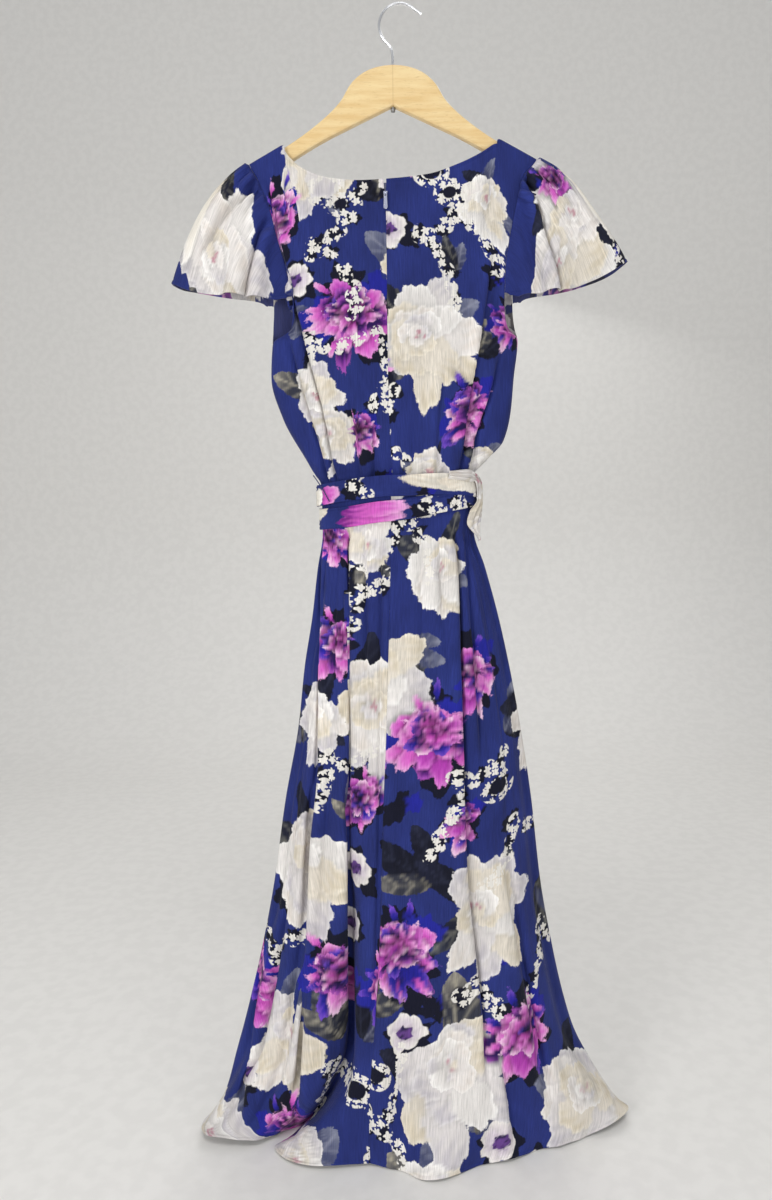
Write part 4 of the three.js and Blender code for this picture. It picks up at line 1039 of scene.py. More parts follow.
class Shader:
    """A material whose nodes are added one by one, each fed by values or by other outputs."""

    def __init__(self, name):
        self.material = bpy.data.materials.new(name)
        self.material.use_nodes = True
        self.tree = self.material.node_tree
        self.tree.nodes.clear()

    def add(self, kind, feeds, output=0, **settings):
        made = self.tree.nodes.new("ShaderNode" + kind)
        for key, value in settings.items():
            setattr(made, key, value)
        for key, value in feeds.items():
            if isinstance(value, bpy.types.NodeSocket):
                self.tree.links.new(value, made.inputs[key])
            else:
                made.inputs[key].default_value = value
        return made.outputs[output] if len(made.outputs) else made

    def attribute(self, name, output):
        return self.add("Attribute", {}, output, attribute_name=name)

    def object_place(self):
        return self.add("TexCoord", {}, OBJECT_PLACE)

    def math(self, operation, a, b=0.0):
        return self.add("Math", {0: a, 1: b}, operation=operation)

    def times(self, a, b):
        return self.math("MULTIPLY", a, b)

    def part(self, vector, axis):
        return self.add("SeparateXYZ", {0: vector}, axis)

    def scaled(self, vector, *scale):
        return self.add("VectorMath", {0: vector, 1: scale}, operation="MULTIPLY")

    def noise(self, place, scale, detail, roughness=0.5):
        """Uneven noise, with a scale of its own in each direction."""
        feeds = {"Vector": self.scaled(place, *scale), "Scale": 1.0, "Detail": detail}
        return self.add("TexNoise", feeds | {"Roughness": roughness})

    def scattered(self, vector, scale):
        """Place of the nearest of scattered points."""
        feeds = {"Vector": vector, "Scale": scale, "Randomness": 0.7}
        return self.add("TexVoronoi", feeds, NEAREST_OUT, voronoi_dimensions="2D")

    def span(self, value, low, high, to_low=0.0, to_high=1.0):
        feeds = {0: value, 1: low, 2: high, 3: to_low, 4: to_high}
        return self.add("MapRange", feeds)

    def blend(self, share, a, b, how="MIX"):
        feeds = {0: share, 6: a, 7: b}
        return self.add("Mix", feeds, 2, data_type="RGBA", blend_type=how)

    def surface(self, height=None, bump=0.0, strength=1.0, **sockets):
        feeds = {key.replace("_", " "): value for key, value in sockets.items()}
        if height is not None:
            feeds["Normal"] = self.add("Bump", {"Strength": strength, "Distance": bump, "Height": height})
        shader = self.add("BsdfPrincipled", feeds)
        self.add("OutputMaterial", {"Surface": shader})
        return self.material


def rgba(colour):
    return (*(float(c) for c in colour), 1.0)


# Scales of the chiffon's crinkle streaks and its other noises, across and down the cloth, in turns a
# millimetre.
STREAKS, FINE_STREAKS, RAGGED = (0.75, 0.035, 0), (2.2, 0.16, 0), (0.24, 0.17, 0)
CLOUDS, WIDE_WAVES = (0.02, 0.012, 0), (0.022, 0.006, 0)
INNER_SIDE = Named(share=0.14, colour=linear(150, 150, 178))  # it shows a little paler
PETALS, UNEVEN_PETALS = 5, 60  # of a small blossom, and how much the clouds turn it
EDGE, FINE_EDGE = 0.7, 0.35  # half the width over which a shape's edge fades, in millimetres
FINE_RAGGED, PETAL_RAGGED = 0.3, 0.25  # how much of the raggedness reaches open flowers and blossoms
CRINKLE = Named(fine=0.35, depth=0.0009, strength=0.8)


def chiffon(name, ragged_by):
    """Crinkled printed chiffon: ragged-edged print layers, fine streaks down the cloth, with painted
    shade of the crinkles in its colour.
    """
    s = Shader(name)
    place = s.attribute("cloth", VECTOR_OUT)
    inner = s.part(place, INNER)
    streak = s.noise(place, STREAKS, 3.0, 0.62)
    fine = s.noise(place, FINE_STREAKS, 1.0)
    ragged = s.noise(place, RAGGED, 3.0, 0.6)
    jagged = s.times(s.math("SUBTRACT", ragged, 0.5), ragged_by)
    cloudy = s.noise(place, CLOUDS, 2.0)
    colour = s.blend(s.span(cloudy, 0.35, 0.65), rgba(NAVY * 0.86), rgba(NAVY * 1.12))
    heart = s.scattered(place, 1 / BLOSSOM_SPACING)
    away = s.scaled(s.add("VectorMath", {0: place, 1: heart}, operation="SUBTRACT"), 1, 1, 0)
    around = s.math("ARCTAN2", s.part(away, DOWN), s.part(away, ACROSS))
    turned = s.math("ADD", s.times(around, PETALS), s.times(cloudy, UNEVEN_PETALS))
    petal_edge = s.span(s.math("COSINE", turned), -1, 1, *BLOSSOM_RADII)
    from_heart = s.add("VectorMath", {0: away}, LENGTH_OUT, operation="LENGTH")
    petal_edge = s.math("ADD", petal_edge, s.times(jagged, PETAL_RAGGED))
    blossoms = s.span(s.math("SUBTRACT", petal_edge, from_heart), -FINE_EDGE, FINE_EDGE)
    for layer in range(LAYERS):
        paint = s.attribute(f"print{layer}", COLOUR_OUT)
        held = s.attribute(f"print{layer}", ALPHA_OUT)
        distance = s.times(s.math("SUBTRACT", held, 0.5), 2 * REACH)
        torn = jagged if layer < FINE_LAYER else s.times(jagged, FINE_RAGGED)
        mask = s.span(s.math("ADD", distance, torn), -EDGE, EDGE)
        if layer == SPRINKLED:
            mask = s.times(mask, blossoms)
        colour = s.blend(mask, colour, paint)
    # Painted shade: the colour is darkened and lightened along the crinkle streaks, standing in for the
    # light and shade of the crinkles, and is made darker and lighter in broad waves.
    grain = s.span(streak, 0.3, 0.7, 0.76, 1.14)
    waved = s.noise(place, WIDE_WAVES, 2.0)
    grain = s.times(grain, s.span(waved, 0.3, 0.7, 0.88, 1.12))
    colour = s.blend(1.0, colour, s.add("CombineColor", {0: grain, 1: grain, 2: grain}), "MULTIPLY")
    pale = s.blend(INNER_SIDE.share, colour, rgba(INNER_SIDE.colour))
    colour = s.blend(inner, colour, pale)
    height = s.math("ADD", streak, s.times(fine, CRINKLE.fine))
    return s.surface(
        height, CRINKLE.depth, CRINKLE.strength, Base_Color=colour, Roughness=0.78,
        Sheen_Weight=0.05, Sheen_Roughness=0.5, Specular_IOR_Level=0.16,
    )


def wood():
    """Lacquered maple, its grain along the hanger, with the joint in its middle."""
    s = Shader("maple")
    place = s.object_place()
    warp = s.noise(place, (8, 8, 20), 2.0)
    bent = s.add("VectorMath", {0: place, 1: s.scaled(warp, 0.004, 0.004, 0.004)}, operation="ADD")
    rings = s.noise(bent, (14, 90, 120), 4.0, 0.6)
    pores = s.noise(place, (120, 900, 900), 2.0)
    light, ring = rgba(linear(232, 207, 155)), rgba(linear(218, 184, 126))
    base = s.blend(s.span(rings, 0.35, 0.68), light, ring)
    base = s.blend(s.span(pores, 0.58, 0.75, 0, 0.35), base, rgba(linear(178, 138, 84)))
    joint = s.math("ABSOLUTE", s.math("ADD", s.part(place, 0), HANG_OFFSET * MM))
    base = s.blend(s.span(joint, 0.0003, 0.0009, 0.3, 0), base, rgba(linear(176, 136, 88)))
    return s.surface(
        pores, 0.0002, 0.5, Base_Color=base, Roughness=s.span(rings, 0.3, 0.7, 0.32, 0.45),
        Coat_Weight=0.25, Coat_Roughness=0.2,
    )


def flecked(name, grain, detail, spread, colours, rough, bump=(), **sockets):
    """A plain material with fine marks: in its colour, in its height, where "bump" gives their
    depth in metres and strength, and in its roughness, where that is given as a low and a high."""
    s = Shader(name)
    marks = s.noise(s.object_place(), grain, detail)
    tint = s.blend(s.span(marks, *spread), *(rgba(colour) for colour in colours))
    roughness = s.span(marks, 0.3, 0.7, *rough) if isinstance(rough, tuple) else rough
    height = marks if bump else None
    return s.surface(height, *bump, Base_Color=tint, Roughness=roughness, **sockets)


def metal(name, colour, rough):
    return flecked(
        name, (300, 300, 60), 3.0, (0.35, 0.7), (colour, colour * 0.82), (rough, rough + 0.14),
        (0.00005, 0.4), Metallic=1.0,
    )


def tape_weave():
    s = Shader("zip_tape")
    feeds = {"Vector": s.object_place(), "Scale": 900.0, "Distortion": 1.0}
    weave = s.add("TexWave", feeds, 1, bands_direction="Z")
    tint = s.blend(weave, rgba(linear(66, 70, 100)), rgba(linear(112, 114, 136)))
    return s.surface(weave, 0.0001, 0.6, Base_Color=tint, Roughness=0.9)


THREAD = flecked(
    "thread", (900, 900, 900), 2.0, (0.35, 0.65), (linear(34, 38, 74), linear(64, 70, 118)), 0.8,
    (0.0002, 0.6),
)
CLOTH_LOOK = chiffon("printed_chiffon", 6.5), "printed_chiffon"  # a material and its slot
SASH_LOOK = chiffon("sash_chiffon", 3.0), "sash_chiffon"
MAPLE = wood()
STEEL = metal("hook_steel", linear(236, 237, 239), 0.24)
NUT_STEEL = metal("nut_steel", linear(150, 150, 150), 0.35)
# Painted highlight, in part: the pale silvery colour of the slider and pull tab is partly their own and
# partly brightened to stand in for their bright shine.
ENAMEL_AND_PAINTED_SHINE = flecked(
    "zip_enamel", (500, 500, 500), 3.0, (0.6, 0.72), (linear(160, 163, 182), linear(214, 215, 222)),
    0.26, (0.00005, 0.4), Metallic=0.6,
)
TAPE = tape_weave()


# ---- camera, floor and light

FLOOR = Named(below=0.3, half=6000, front=-5000, back=2500, top=4500, curve=900, bends=14)
SKY, SKY_STRENGTH = (0.96, 0.975, 1, 1), 0.42
# Square lamps: name, place, where each shines, size and power, in metres and watts.
LAMPS = (
    ("key", (-1.7, -2.1, -0.5), (0, 0, -1.2), 1.0, 32),
    ("fill", (1.2, -1.9, -1.0), (0, 0, -1.5), 1.2, 11),
    ("top", (0.1, -2.2, 2.8), (0, 0, -1.2), 1.4, 54),
    ("behind", (0.4, 2.0, 0.9), (0, 0, -0.7), 1.6, 18),
)


def camera():
    data = bpy.data.cameras.new("camera")
    data.lens, data.sensor_width = CAMERA_LENS, CAMERA_SENSOR
    made = added("camera", data)
    tilt = Matrix.Rotation(math.radians(90 - CAMERA_PITCH), 4, "X")
    roll = Matrix.Rotation(math.radians(-CAMERA_ROLL), 4, "Z")
    made.matrix_world = Matrix.Translation(CAMERA_PLACE) @ tilt @ roll
    bpy.context.scene.camera = made


def floor():
    """Plain pale floor that curves up into a plain backdrop."""
    low = cad_box[0][2] / MM - FLOOR.below
    bend = np.linspace(0, np.pi / 2, FLOOR.bends)
    bent_y = FLOOR.back - FLOOR.curve + FLOOR.curve * np.sin(bend)
    y = np.concatenate([[FLOOR.front, 0], bent_y, [FLOOR.back]])
    z = np.concatenate([[low, low], low + FLOOR.curve * (1 - np.cos(bend)), [FLOOR.top]])
    grid = points(np.array([[-FLOOR.half, FLOOR.half]]), y[:, None], z[:, None])
    mesh = new_mesh("floor", grid.reshape(-1, 3), grid_quads(len(y), 2))
    tints = linear(226, 224, 220), linear(230, 228, 224)
    mesh.materials.append(flecked("floor_paint", (40, 40, 40), 2.0, (0.4, 0.6), tints, 0.85))
    added("floor", mesh)


def light():
    world = bpy.data.worlds.new("world")
    world.use_nodes = True
    background = world.node_tree.nodes["Background"]
    background.inputs[0].default_value = SKY
    background.inputs[1].default_value = SKY_STRENGTH
    bpy.context.scene.world = world
    for name, place, towards, size, power in LAMPS:
        data = bpy.data.lights.new(name, "AREA")
        data.shape, data.size, data.size_y, data.energy = "RECTANGLE", size, size, power
        made = added(name, data)
        turn = (Vector(towards) - Vector(place)).to_track_quat("-Z", "Y").to_matrix().to_4x4()
        made.matrix_world = Matrix.Translation(place) @ turn
        made.visible_camera = False


camera()
floor()
light()


# ---- cloth pieces

HEM_ROLL = Named(wide=4.6, change=1.6, proud=0.25, thicker=0.9)
STITCHES = Named(away=5, width=1.1, depth=0.35)


def arc(grid, axis, start):
    """Length along the sheet from a row or a column of its grid."""
    steps = np.linalg.norm(np.diff(grid, axis=axis), axis=-1)
    zero = np.zeros_like(np.take(grid[..., 0], [0], axis=axis))
    length = np.concatenate([zero, np.cumsum(steps, axis=axis)], axis=axis)
    return length - np.take(length, [start], axis=axis)


def edged(from_edge):
    """Push and extra thickness of a narrow stitched hem, by distance from the cloth's edge."""
    roll = smooth((HEM_ROLL.wide - from_edge) / HEM_ROLL.change)
    groove = STITCHES.depth * bell((from_edge - STITCHES.away) / STITCHES.width)
    return HEM_ROLL.proud * roll - groove, HEM_ROLL.thicker * roll


def printed(node, mesh, look, u, v, motifs, seed, sides, hidden=0):
    """A printed piece that stands for one node. "hidden" is how much cloth its creases hide."""
    painted = Painted(u + hidden, v, seed)
    painted.arrange(motifs)
    write_print(mesh, painted, u, v, sides)
    return piece(node + "_cloth", mesh, *look, node)


def cloth_piece(name, grid, facing, push, u, v, motifs, seed, extra, hidden=0):
    mesh = wall(name, pressed(grid, push, facing), facing, CLOTH + extra)
    made = printed(name, mesh, CLOTH_LOOK, u, v, motifs, seed, 2, hidden)


def motif_rows(text):
    """Motifs of the print: kind, place across and down the flat cloth, size, and turn in degrees
    where it isn't 0."""
    rows = [motif.split() for motif in text.split(",")]
    return [(kind, *map(float, [*row, 0][:4])) for kind, *row in rows]


def crease_rows(text):
    """Creases, one a line: points of its path, then depth, half width, lip and fading stretch."""
    rows = [line.split(":") for line in text.strip().split("\n")]
    return [(numbers(path, ","), *map(float, rest.split())) for path, rest in rows]


BODICE_PRINT = motif_rows("""
    dark -20 -440 14, dark 150 -300 16, stem -10 -318 50 215, stem 140 -190 56 160,
    stem -150 -200 60 20, cream -88 -392 74 300, pink -172 -318 46, cream 44 -212 76 60,
    pink -58 -176 54, small 12 -352 25, pink 128 -120 46, cream -138 -72 56 100, cream 150 -398 44,
    pink 196 -250 36, wreath 66 -428 19, wreath 96 -402 16, spray 76 -338 80 60, spray -10 -66 70 100,
    cream 66 -34 40, pink -60 -20 30, small -130 -232 22, cream 190 -40 44, stem 96 -300 46 200,
    pink 22 -452 26, spray -104 -130 60 20, spray 160 -330 60 150, wreath -84 -340 20,
    wreath -58 -318 15, spray -70 -262 80 70, cream -110 -20 44
""")
SKIRT_PRINT = motif_rows("""
    dark 40 420 20, dark -60 620 24, dark 190 640 22, dark -250 520 24, dark 90 690 20,
    stem -60 400 76 200, stem 96 520 96 235, stem -20 690 90 150, stem 210 330 80 120,
    stem -200 300 80 200, stem 300 560 90 60, cream 84 96 62, cream -30 236 84 30, pink -112 150 42,
    pink 66 318 58, pink 150 236 46, wreath -66 62 17, spray -60 92 70 40, spray 128 402 90 20,
    small -26 456 26, cream 168 560 86 70, cream -188 452 88 10, pink 40 610 58, pink -116 600 52,
    wreath -30 760 22, wreath 8 782 18, spray 30 846 96 70, spray -120 764 80 10, cream 134 770 94 20,
    small 52 724 27, small 188 880 28, pink 262 742 60, cream -236 700 80, pink -206 842 50,
    cream -112 884 66, cream 86 930 58, spray 256 480 80 10, cream -350 880 90, pink -320 640 50,
    cream 360 860 80, spray 330 640 80 20, small -300 780 26, cream 300 300 70, cream -300 260 70,
    small 250 930 26, pink -30 360 40, spray -110 330 80 15, stem 30 200 60 60, spray 160 660 80 120,
    stem -120 700 80 200, pink 150 440 34, cream -150 250 50, stem 150 860 70 130, small -60 540 24,
    spray -270 580 80 170, wreath 200 400 20, cream -42 20 46 170, spray 36 34 70 70, pink -116 10 34
""")
# Painted shade: on each sleeve the dark patch and the pink bloom low on the front half (dark 40 168 and
# pink 92 150 on the left, dark 60 166 and pink 104 140 on the right) stand in for the shaded inside of
# the front half under the hem.
LEFT_SLEEVE_PRINT = motif_rows("""
    stem -40 24 60 10, leaf -96 30 70 10, cream -66 116 84 190, strip -16 40 120 -4, small -150 96 20,
    dark 40 168 26, pink 92 150 44, cream 80 60 56, rosy 30 150 50 60
""")
RIGHT_SLEEVE_PRINT = motif_rows("""
    dark -22 156 30, dark -48 176 18, leaf -40 190 70 170, cream -116 112 88 10, cream -62 84 62 160,
    pink -58 34 30, strip -10 20 130 -2, spray -6 150 40 40, dark 60 166 28, pink 104 140 44,
    cream 70 60 54
""")


# Creases of the bodice and the skirt. A path's points are a height and a place across.
BACK_CREASES = crease_rows("""
    -205 -168, -290 -154, -346 -140, -449 -115, -525 -96, -640 -76: 10 3.4 -3.4 60
    -300 134, -349 124, -452 106, -527 92, -640 78: 9 3.4 3.4 80
    -400 -150, -470 -132, -540 -112, -640 -88: 6 4 -2.2 60
    -430 144, -500 124, -560 104, -640 90: 6.5 4 2.4 60
    -180 -128, -230 -118, -300 -96: 2.4 8 -1.2 40
    -176 -152, -230 -146, -300 -128: 3 6 -1.5 40
    -186 128, -240 126, -310 116: 2.4 7 1.4 40
    -480 -66, -560 -54, -640 -50: 3.4 5 -1.6 50
    -500 -28, -570 -30, -640 -34: 2.6 5 1.2 40
    -520 22, -580 22, -640 24: 2.4 5 -1.2 40
    -450 66, -550 54, -640 50: 3.6 5 1.8 60
    -540 -104, -590 -96, -640 -92: 3 4 -1.4 20
    -540 2, -590 4, -640 6: 2 4 1 20
""")
FRONT_CREASES = crease_rows("""
    -240 150, -350 140, -460 112, -640 80: 3.4 5 1.6 60
    -250 -152, -350 -140, -460 -110, -640 -78: 3.4 5 -1.6 60
    -420 60, -540 48, -640 44: 2 6 1 60
    -440 -58, -550 -50, -640 -46: 2 6 -1 60
    -500 6, -580 2, -640 0: 1.6 6 0.8 50
""")
SKIRT_CREASES = crease_rows("""
    -640 -66, -800 -66, -932 -66, -1075 -70, -1200 -72: 8 3.2 -3.4 80
    -640 75, -825 79, -989 82, -1129 84, -1302 100, -1450 112: 9 3.6 4 120
    -640 88, -760 95, -900 103, -1020 110: 6 4.5 2.2 90
    -640 -98, -716 -106, -860 -111, -1042 -117, -1150 -122: 6 3.6 -2.6 80
    -640 -40, -760 -44, -900 -46: 3.4 4.5 -1.8 90
    -640 28, -760 30, -880 30: 2.6 5 1.4 100
    -640 52, -740 55, -830 56: 3 4 1.4 80
    -640 -21, -860 -26, -1080 -31, -1240 -37, -1380 -46: 5 4 -1.4 130
    -1000 -124, -1095 -127, -1242 -134, -1400 -142, -1540 -160: 16 5.5 -5 120
    -1010 -76, -1116 -77, -1242 -79, -1372 -81, -1470 -90: 14 5 4.5 90
    -1180 -190, -1290 -204, -1420 -222, -1540 -236: 8 6 -3.5 90
    -1240 40, -1360 52, -1480 60: 5 9 3 100
    -1120 140, -1240 158, -1360 178, -1500 204: 8 8 4 120
    -1330 -20, -1430 -14, -1540 -4: 5 9 -3 80
    -1380 128, -1460 140, -1540 152: 7 8 3.5 60
""")
FRONT_SKIRT_CREASES = crease_rows("""
    -640 -60, -860 -70, -1120 -88, -1540 -120: 4 5 -2 120
    -640 54, -900 66, -1200 90, -1540 126: 4 5 2 120
    -640 4, -860 2, -1100 -6: 3 5 1.4 120
    -900 112, -1120 140, -1540 190: 5 7 2 120
    -900 -118, -1150 -150, -1540 -206: 5 7 -2 120
""")
# A sleeve's paths run by shares of the way to the hem and of the way along the armhole.
SLEEVE_CREASES = crease_rows("""
    -0.3 0.43, 0.1 0.425, 0.42 0.415: 3.6 0.009 2 0.25
    -0.3 0.46, 0.1 0.46, 0.36 0.465: 3.2 0.008 1.8 0.25
    -0.3 0.49, 0.1 0.495, 0.36 0.5: 3 0.008 -1.7 0.25
    -0.3 0.52, 0.1 0.53, 0.42 0.54: 3 0.009 -1.8 0.25
    -0.3 0.395, 0.2 0.38, 0.5 0.365: 3.2 0.01 1.8 0.3
    -0.3 0.36, 0.3 0.335, 0.6 0.32: 2.8 0.012 1.5 0.35
    -0.3 0.57, 0.3 0.6, 0.7 0.64: 3 0.013 -1.6 0.35
""")
RIGHT_SLEEVE_CREASES = SLEEVE_CREASES + crease_rows("""
    -0.2 0.425, 0.25 0.35, 0.6 0.3, 1.2 0.27: 5.5 0.019 5 0.3
    -0.1 0.3, 0.3 0.24, 0.7 0.2, 1.3 0.17: 3 0.03 1.5 0.3
    0.2 0.42, 0.7 0.43, 1.3 0.44: 2.5 0.03 1.2 0.35
""")
LEFT_SLEEVE_CREASES = SLEEVE_CREASES + crease_rows("""
    -0.1 0.34, 0.2 0.38, 0.5 0.41, 0.9 0.43: 5 0.016 -3.4 0.25
    -0.1 0.26, 0.25 0.25, 0.6 0.22, 1.3 0.17: 6 0.018 4 0.3
    0.45 0.34, 0.8 0.33, 1.3 0.32: 2.4 0.03 1.4 0.3
""")


def moved(motifs, across, down, length):
    """A layout turned left to right and slid along the cloth, for the dress's front."""
    return [(kind, across - u, (v + down) % length, size, -turn) for kind, u, v, size, turn in motifs]


def slid(motifs, across, down, length):
    """A layout slid along the cloth, so that the print breaks at the seam as on cut cloth."""
    return [(kind, across + u, (v + down) % length, size, turn) for kind, u, v, size, turn in motifs]


SEAM_GROOVE = Named(depth=0.7, width=1.7)
SEAM_CALM = 12  # creases don't push across nearer to the centre back seam than this
# The centre back seam stands open under the neckline: how wide, how far down, how it closes.
SEAM_OPEN = Named(half=1.7, down=26, closing=21, fade=10)
BLOUSED = -627, 16, -548, 40  # the stretch over the waist seam that has gathers
CREASED = Named(low=-622, over_low=14, under_edge=14, side=0.05)  # where creases fade out
BACK_GATHERS, BACK_RIPPLE = (1.9, 21, 5), (0.5, 46, 8, 0.12)  # depth, period, seed and slant
FRONT_GATHERS, FRONT_WAVE = (1.6, 23, 25), (0.5, 50, 28, 0)


def bodice_push(grid, share, start, gathers, ripple, rows):
    """Push of a bodice panel's gathers, ripples and creases, their push across, and hidden cloth."""
    x, z, top = grid[..., 0], grid[..., 2], grid[:1, :, 2]
    depth, period, seed = gathers
    push = start + depth * within(z, *BLOUSED) * waves(x, period, seed)
    depth, period, seed, slant = ripple
    push = push + depth * waves(x + slant * z, period, seed)
    fold, across, hidden = creases(x, z, rows)
    low = smooth((z - CREASED.low) / CREASED.over_low)
    fade = off_sides(share, CREASED.side) * smooth((top - z) / CREASED.under_edge)
    return (push + fold * low) * fade, across * low * fade, hidden


def seam_groove(beside):
    return -SEAM_GROOVE.depth * bell(beside / SEAM_GROOVE.width)


def bodice_backs():
    half = even_shares(88)
    for name, side in (("bodice_back_left", -1), ("bodice_back_right", 1)):
        share = half if side > 0 else -half[::-1]
        grid = bodice_grid(BACK_BODICE, BACK_NECK, -1, share, 2.8)
        middle = 0 if side > 0 else len(share) - 1
        u, v = arc(grid, 1, middle), arc(grid, 0, grid.shape[0] - 1)
        beside, from_top = np.abs(u), grid[..., 2] - grid[:1, :, 2]
        opening = smooth((from_top + SEAM_OPEN.down) / SEAM_OPEN.closing)
        gap = mix(SEAM / 2, SEAM_OPEN.half, opening) * np.clip(1 - beside / SEAM_OPEN.fade, 0, 1)
        grid[..., 0] += side * gap
        push, across, hidden = bodice_push(
            grid, share, seam_groove(beside), BACK_GATHERS, BACK_RIPPLE, BACK_CREASES
        )
        grid[..., 0] += across * smooth(beside / SEAM_CALM)
        rim, extra = edged(grid[:1, :, 2] - grid[..., 2])
        motifs = BODICE_PRINT if side > 0 else slid(BODICE_PRINT, 12, -70, -490)
        cloth_piece(name, grid, 1, push + rim, u, v, motifs, 11 + side, extra, hidden)


def bodice_front():
    half = even_shares(44)
    share = np.concatenate([-half[:0:-1], half])
    grid = bodice_grid(FRONT_BODICE, FRONT_NECK, 1, share, 4.6)
    u, v = arc(grid, 1, len(half) - 1), arc(grid, 0, grid.shape[0] - 1)
    push, _, _ = bodice_push(grid, share, 0, FRONT_GATHERS, FRONT_WAVE, FRONT_CREASES)
    rim, extra = edged(grid[:1, :, 2] - grid[..., 2])
    cloth_piece("bodice_front", grid, -1, push + rim, u, v, moved(BODICE_PRINT, 34, 190, -480), 31, extra)


FOLD_EASE = 0.75  # how much closer the skirt's columns lie beside the fold lines
BACK_SPACING, FRONT_SPACING = 4.5, 5.2
LOW_SPAN, LOW_POWER = 190, 0.8  # about how long the spilled stretch is, and how its rows close up
ABOVE_HEM = (4, 3, 2.2, 1.5, 0.9, 0.4, 0)  # the last rows
HEM_CLEAR = 5  # the other rows stay this far above the hem
FRONT_COLUMNS = 150
SKIRT_CREASED = Named(side=0.06, top=30)  # where creases fade out
BACK_SWAY = Named(waist=0.6, hem=2.6, period=0.24, seed=41)
WAIST_RIPPLE = Named(depth=0.7, period=0.07, seed=44)
FRONT_SWAY = Named(period=0.2, seed=61)
CURL_POWER = 7  # how near its edge the hem curls up
HEM_CURL = table("""
    at up out
    0 0 0
    0.4 9 3
    1 14 6
    2 12 5
    3 8 3
    3.6 2 0
    4 0 0
    4.4 3 -3
    4.8 5 2
    5.2 0 -4
    5.6 3 3
    5.9 0 -5
    6.3 4 4
    6.6 0 -5
    6.9 4 4
    7.2 1 -5
    7.5 9 3
    7.75 16 0
    8 0 0
""")


def fold_columns(per_line):
    """Places across the back skirt, counted in fold lines."""
    even = np.arange(per_line) / per_line
    eased = [mix(t, 0.5 - 0.5 * math.cos(math.pi * t), FOLD_EASE) for t in even]
    lines = len(SKIRT_FOLDS) + 1
    return np.array([line + t for line in range(lines) for t in eased] + [lines])


def skirt_heights(spacing):
    upper = np.linspace(WAIST_Z, SPILL_Z, int((WAIST_Z - SPILL_Z) / spacing))
    lean = np.linspace(0, 1, int(LOW_SPAN / spacing))[1:-1]
    low = SPILL_Z + (HEM_Z - SPILL_Z) * lean**LOW_POWER
    return np.concatenate([upper, low[low > HEM_Z + HEM_CLEAR], HEM_Z + np.array(ABOVE_HEM)])


def skirt_fade(turn, height):
    return off_sides(turn, SKIRT_CREASED.side) * smooth((SKIRT_TOP - height) / SKIRT_CREASED.top)


def hem_curl(at, height):
    """How the lowest edge of the back skirt curls up and waves."""
    end = way_out(height) ** CURL_POWER
    return points(0, -along(HEM_CURL, at, "out") * end, along(HEM_CURL, at, "up") * end)


def skirt_backs():
    at, z = fold_columns(40), skirt_heights(BACK_SPACING)
    whole, turn, height = skirt_back_grid(at, z)
    whole += hem_curl(at, height)
    seam = int(np.nonzero(at == CENTRE_BACK)[0][0])
    u_all, v_all = arc(whole, 1, seam), arc(whole, 0, 0)
    down, fade = way_down(height), skirt_fade(turn, height)
    sway = mix(BACK_SWAY.waist, BACK_SWAY.hem, down) * waves(turn, BACK_SWAY.period, BACK_SWAY.seed)
    ripple = WAIST_RIPPLE.depth * waves(turn, WAIST_RIPPLE.period, WAIST_RIPPLE.seed) * (1 - down)
    fold, across, hidden = creases(whole[..., 0], height, SKIRT_CREASES)
    whole[..., 0] += across * fade * smooth(np.abs(u_all) / SEAM_CALM)
    rim, extra = edged(v_all[-1:] - v_all)
    push = (sway + ripple + fold) * fade + rim
    for name, side, part in (
        ("skirt_back_left", -1, slice(0, seam + 1)), ("skirt_back_right", 1, slice(seam, None)),
    ):
        grid, u, v = whole[:, part].copy(), u_all[:, part], v_all[:, part]
        beside = np.abs(u)
        grid[..., 0] += side * SEAM / 2 * np.clip(1 - beside / 4, 0, 1)
        motifs = SKIRT_PRINT if side > 0 else slid(SKIRT_PRINT, 8, 46, 960)
        cloth_piece(
            name, grid, 1, push[:, part] + seam_groove(beside), u, v, motifs, 51 + side,
            extra[:, part], hidden[:, part],
        )


def skirt_front():
    turns = np.linspace(-1, 1, FRONT_COLUMNS)
    grid, turn, height = skirt_front_grid(turns, skirt_heights(FRONT_SPACING))
    u, v = arc(grid, 1, FRONT_COLUMNS // 2), arc(grid, 0, 0)
    fold = creases(grid[..., 0], height, FRONT_SKIRT_CREASES)[0]
    push = skirt_fade(turn, height) * (waves(turn, FRONT_SWAY.period, FRONT_SWAY.seed) + fold)
    rim, extra = edged(v[-1:] - v)
    cloth_piece("skirt_front", grid, -1, push + rim, u, v, moved(SKIRT_PRINT, 46, 420, 960), 71, extra)


SLEEVE_COLUMNS = 220
AT_HEM = np.array([0.04, 0.03, 0.02, 0.012, 0.006, 0])  # the last rows before the sleeve's hem
SLEEVE_ROWS = np.concatenate([np.linspace(0, 0.95, 62), 1 - AT_HEM])
SLEEVE_CREASED = Named(seam=0.06, ends=0.06, across=0.3, depth=1.5)


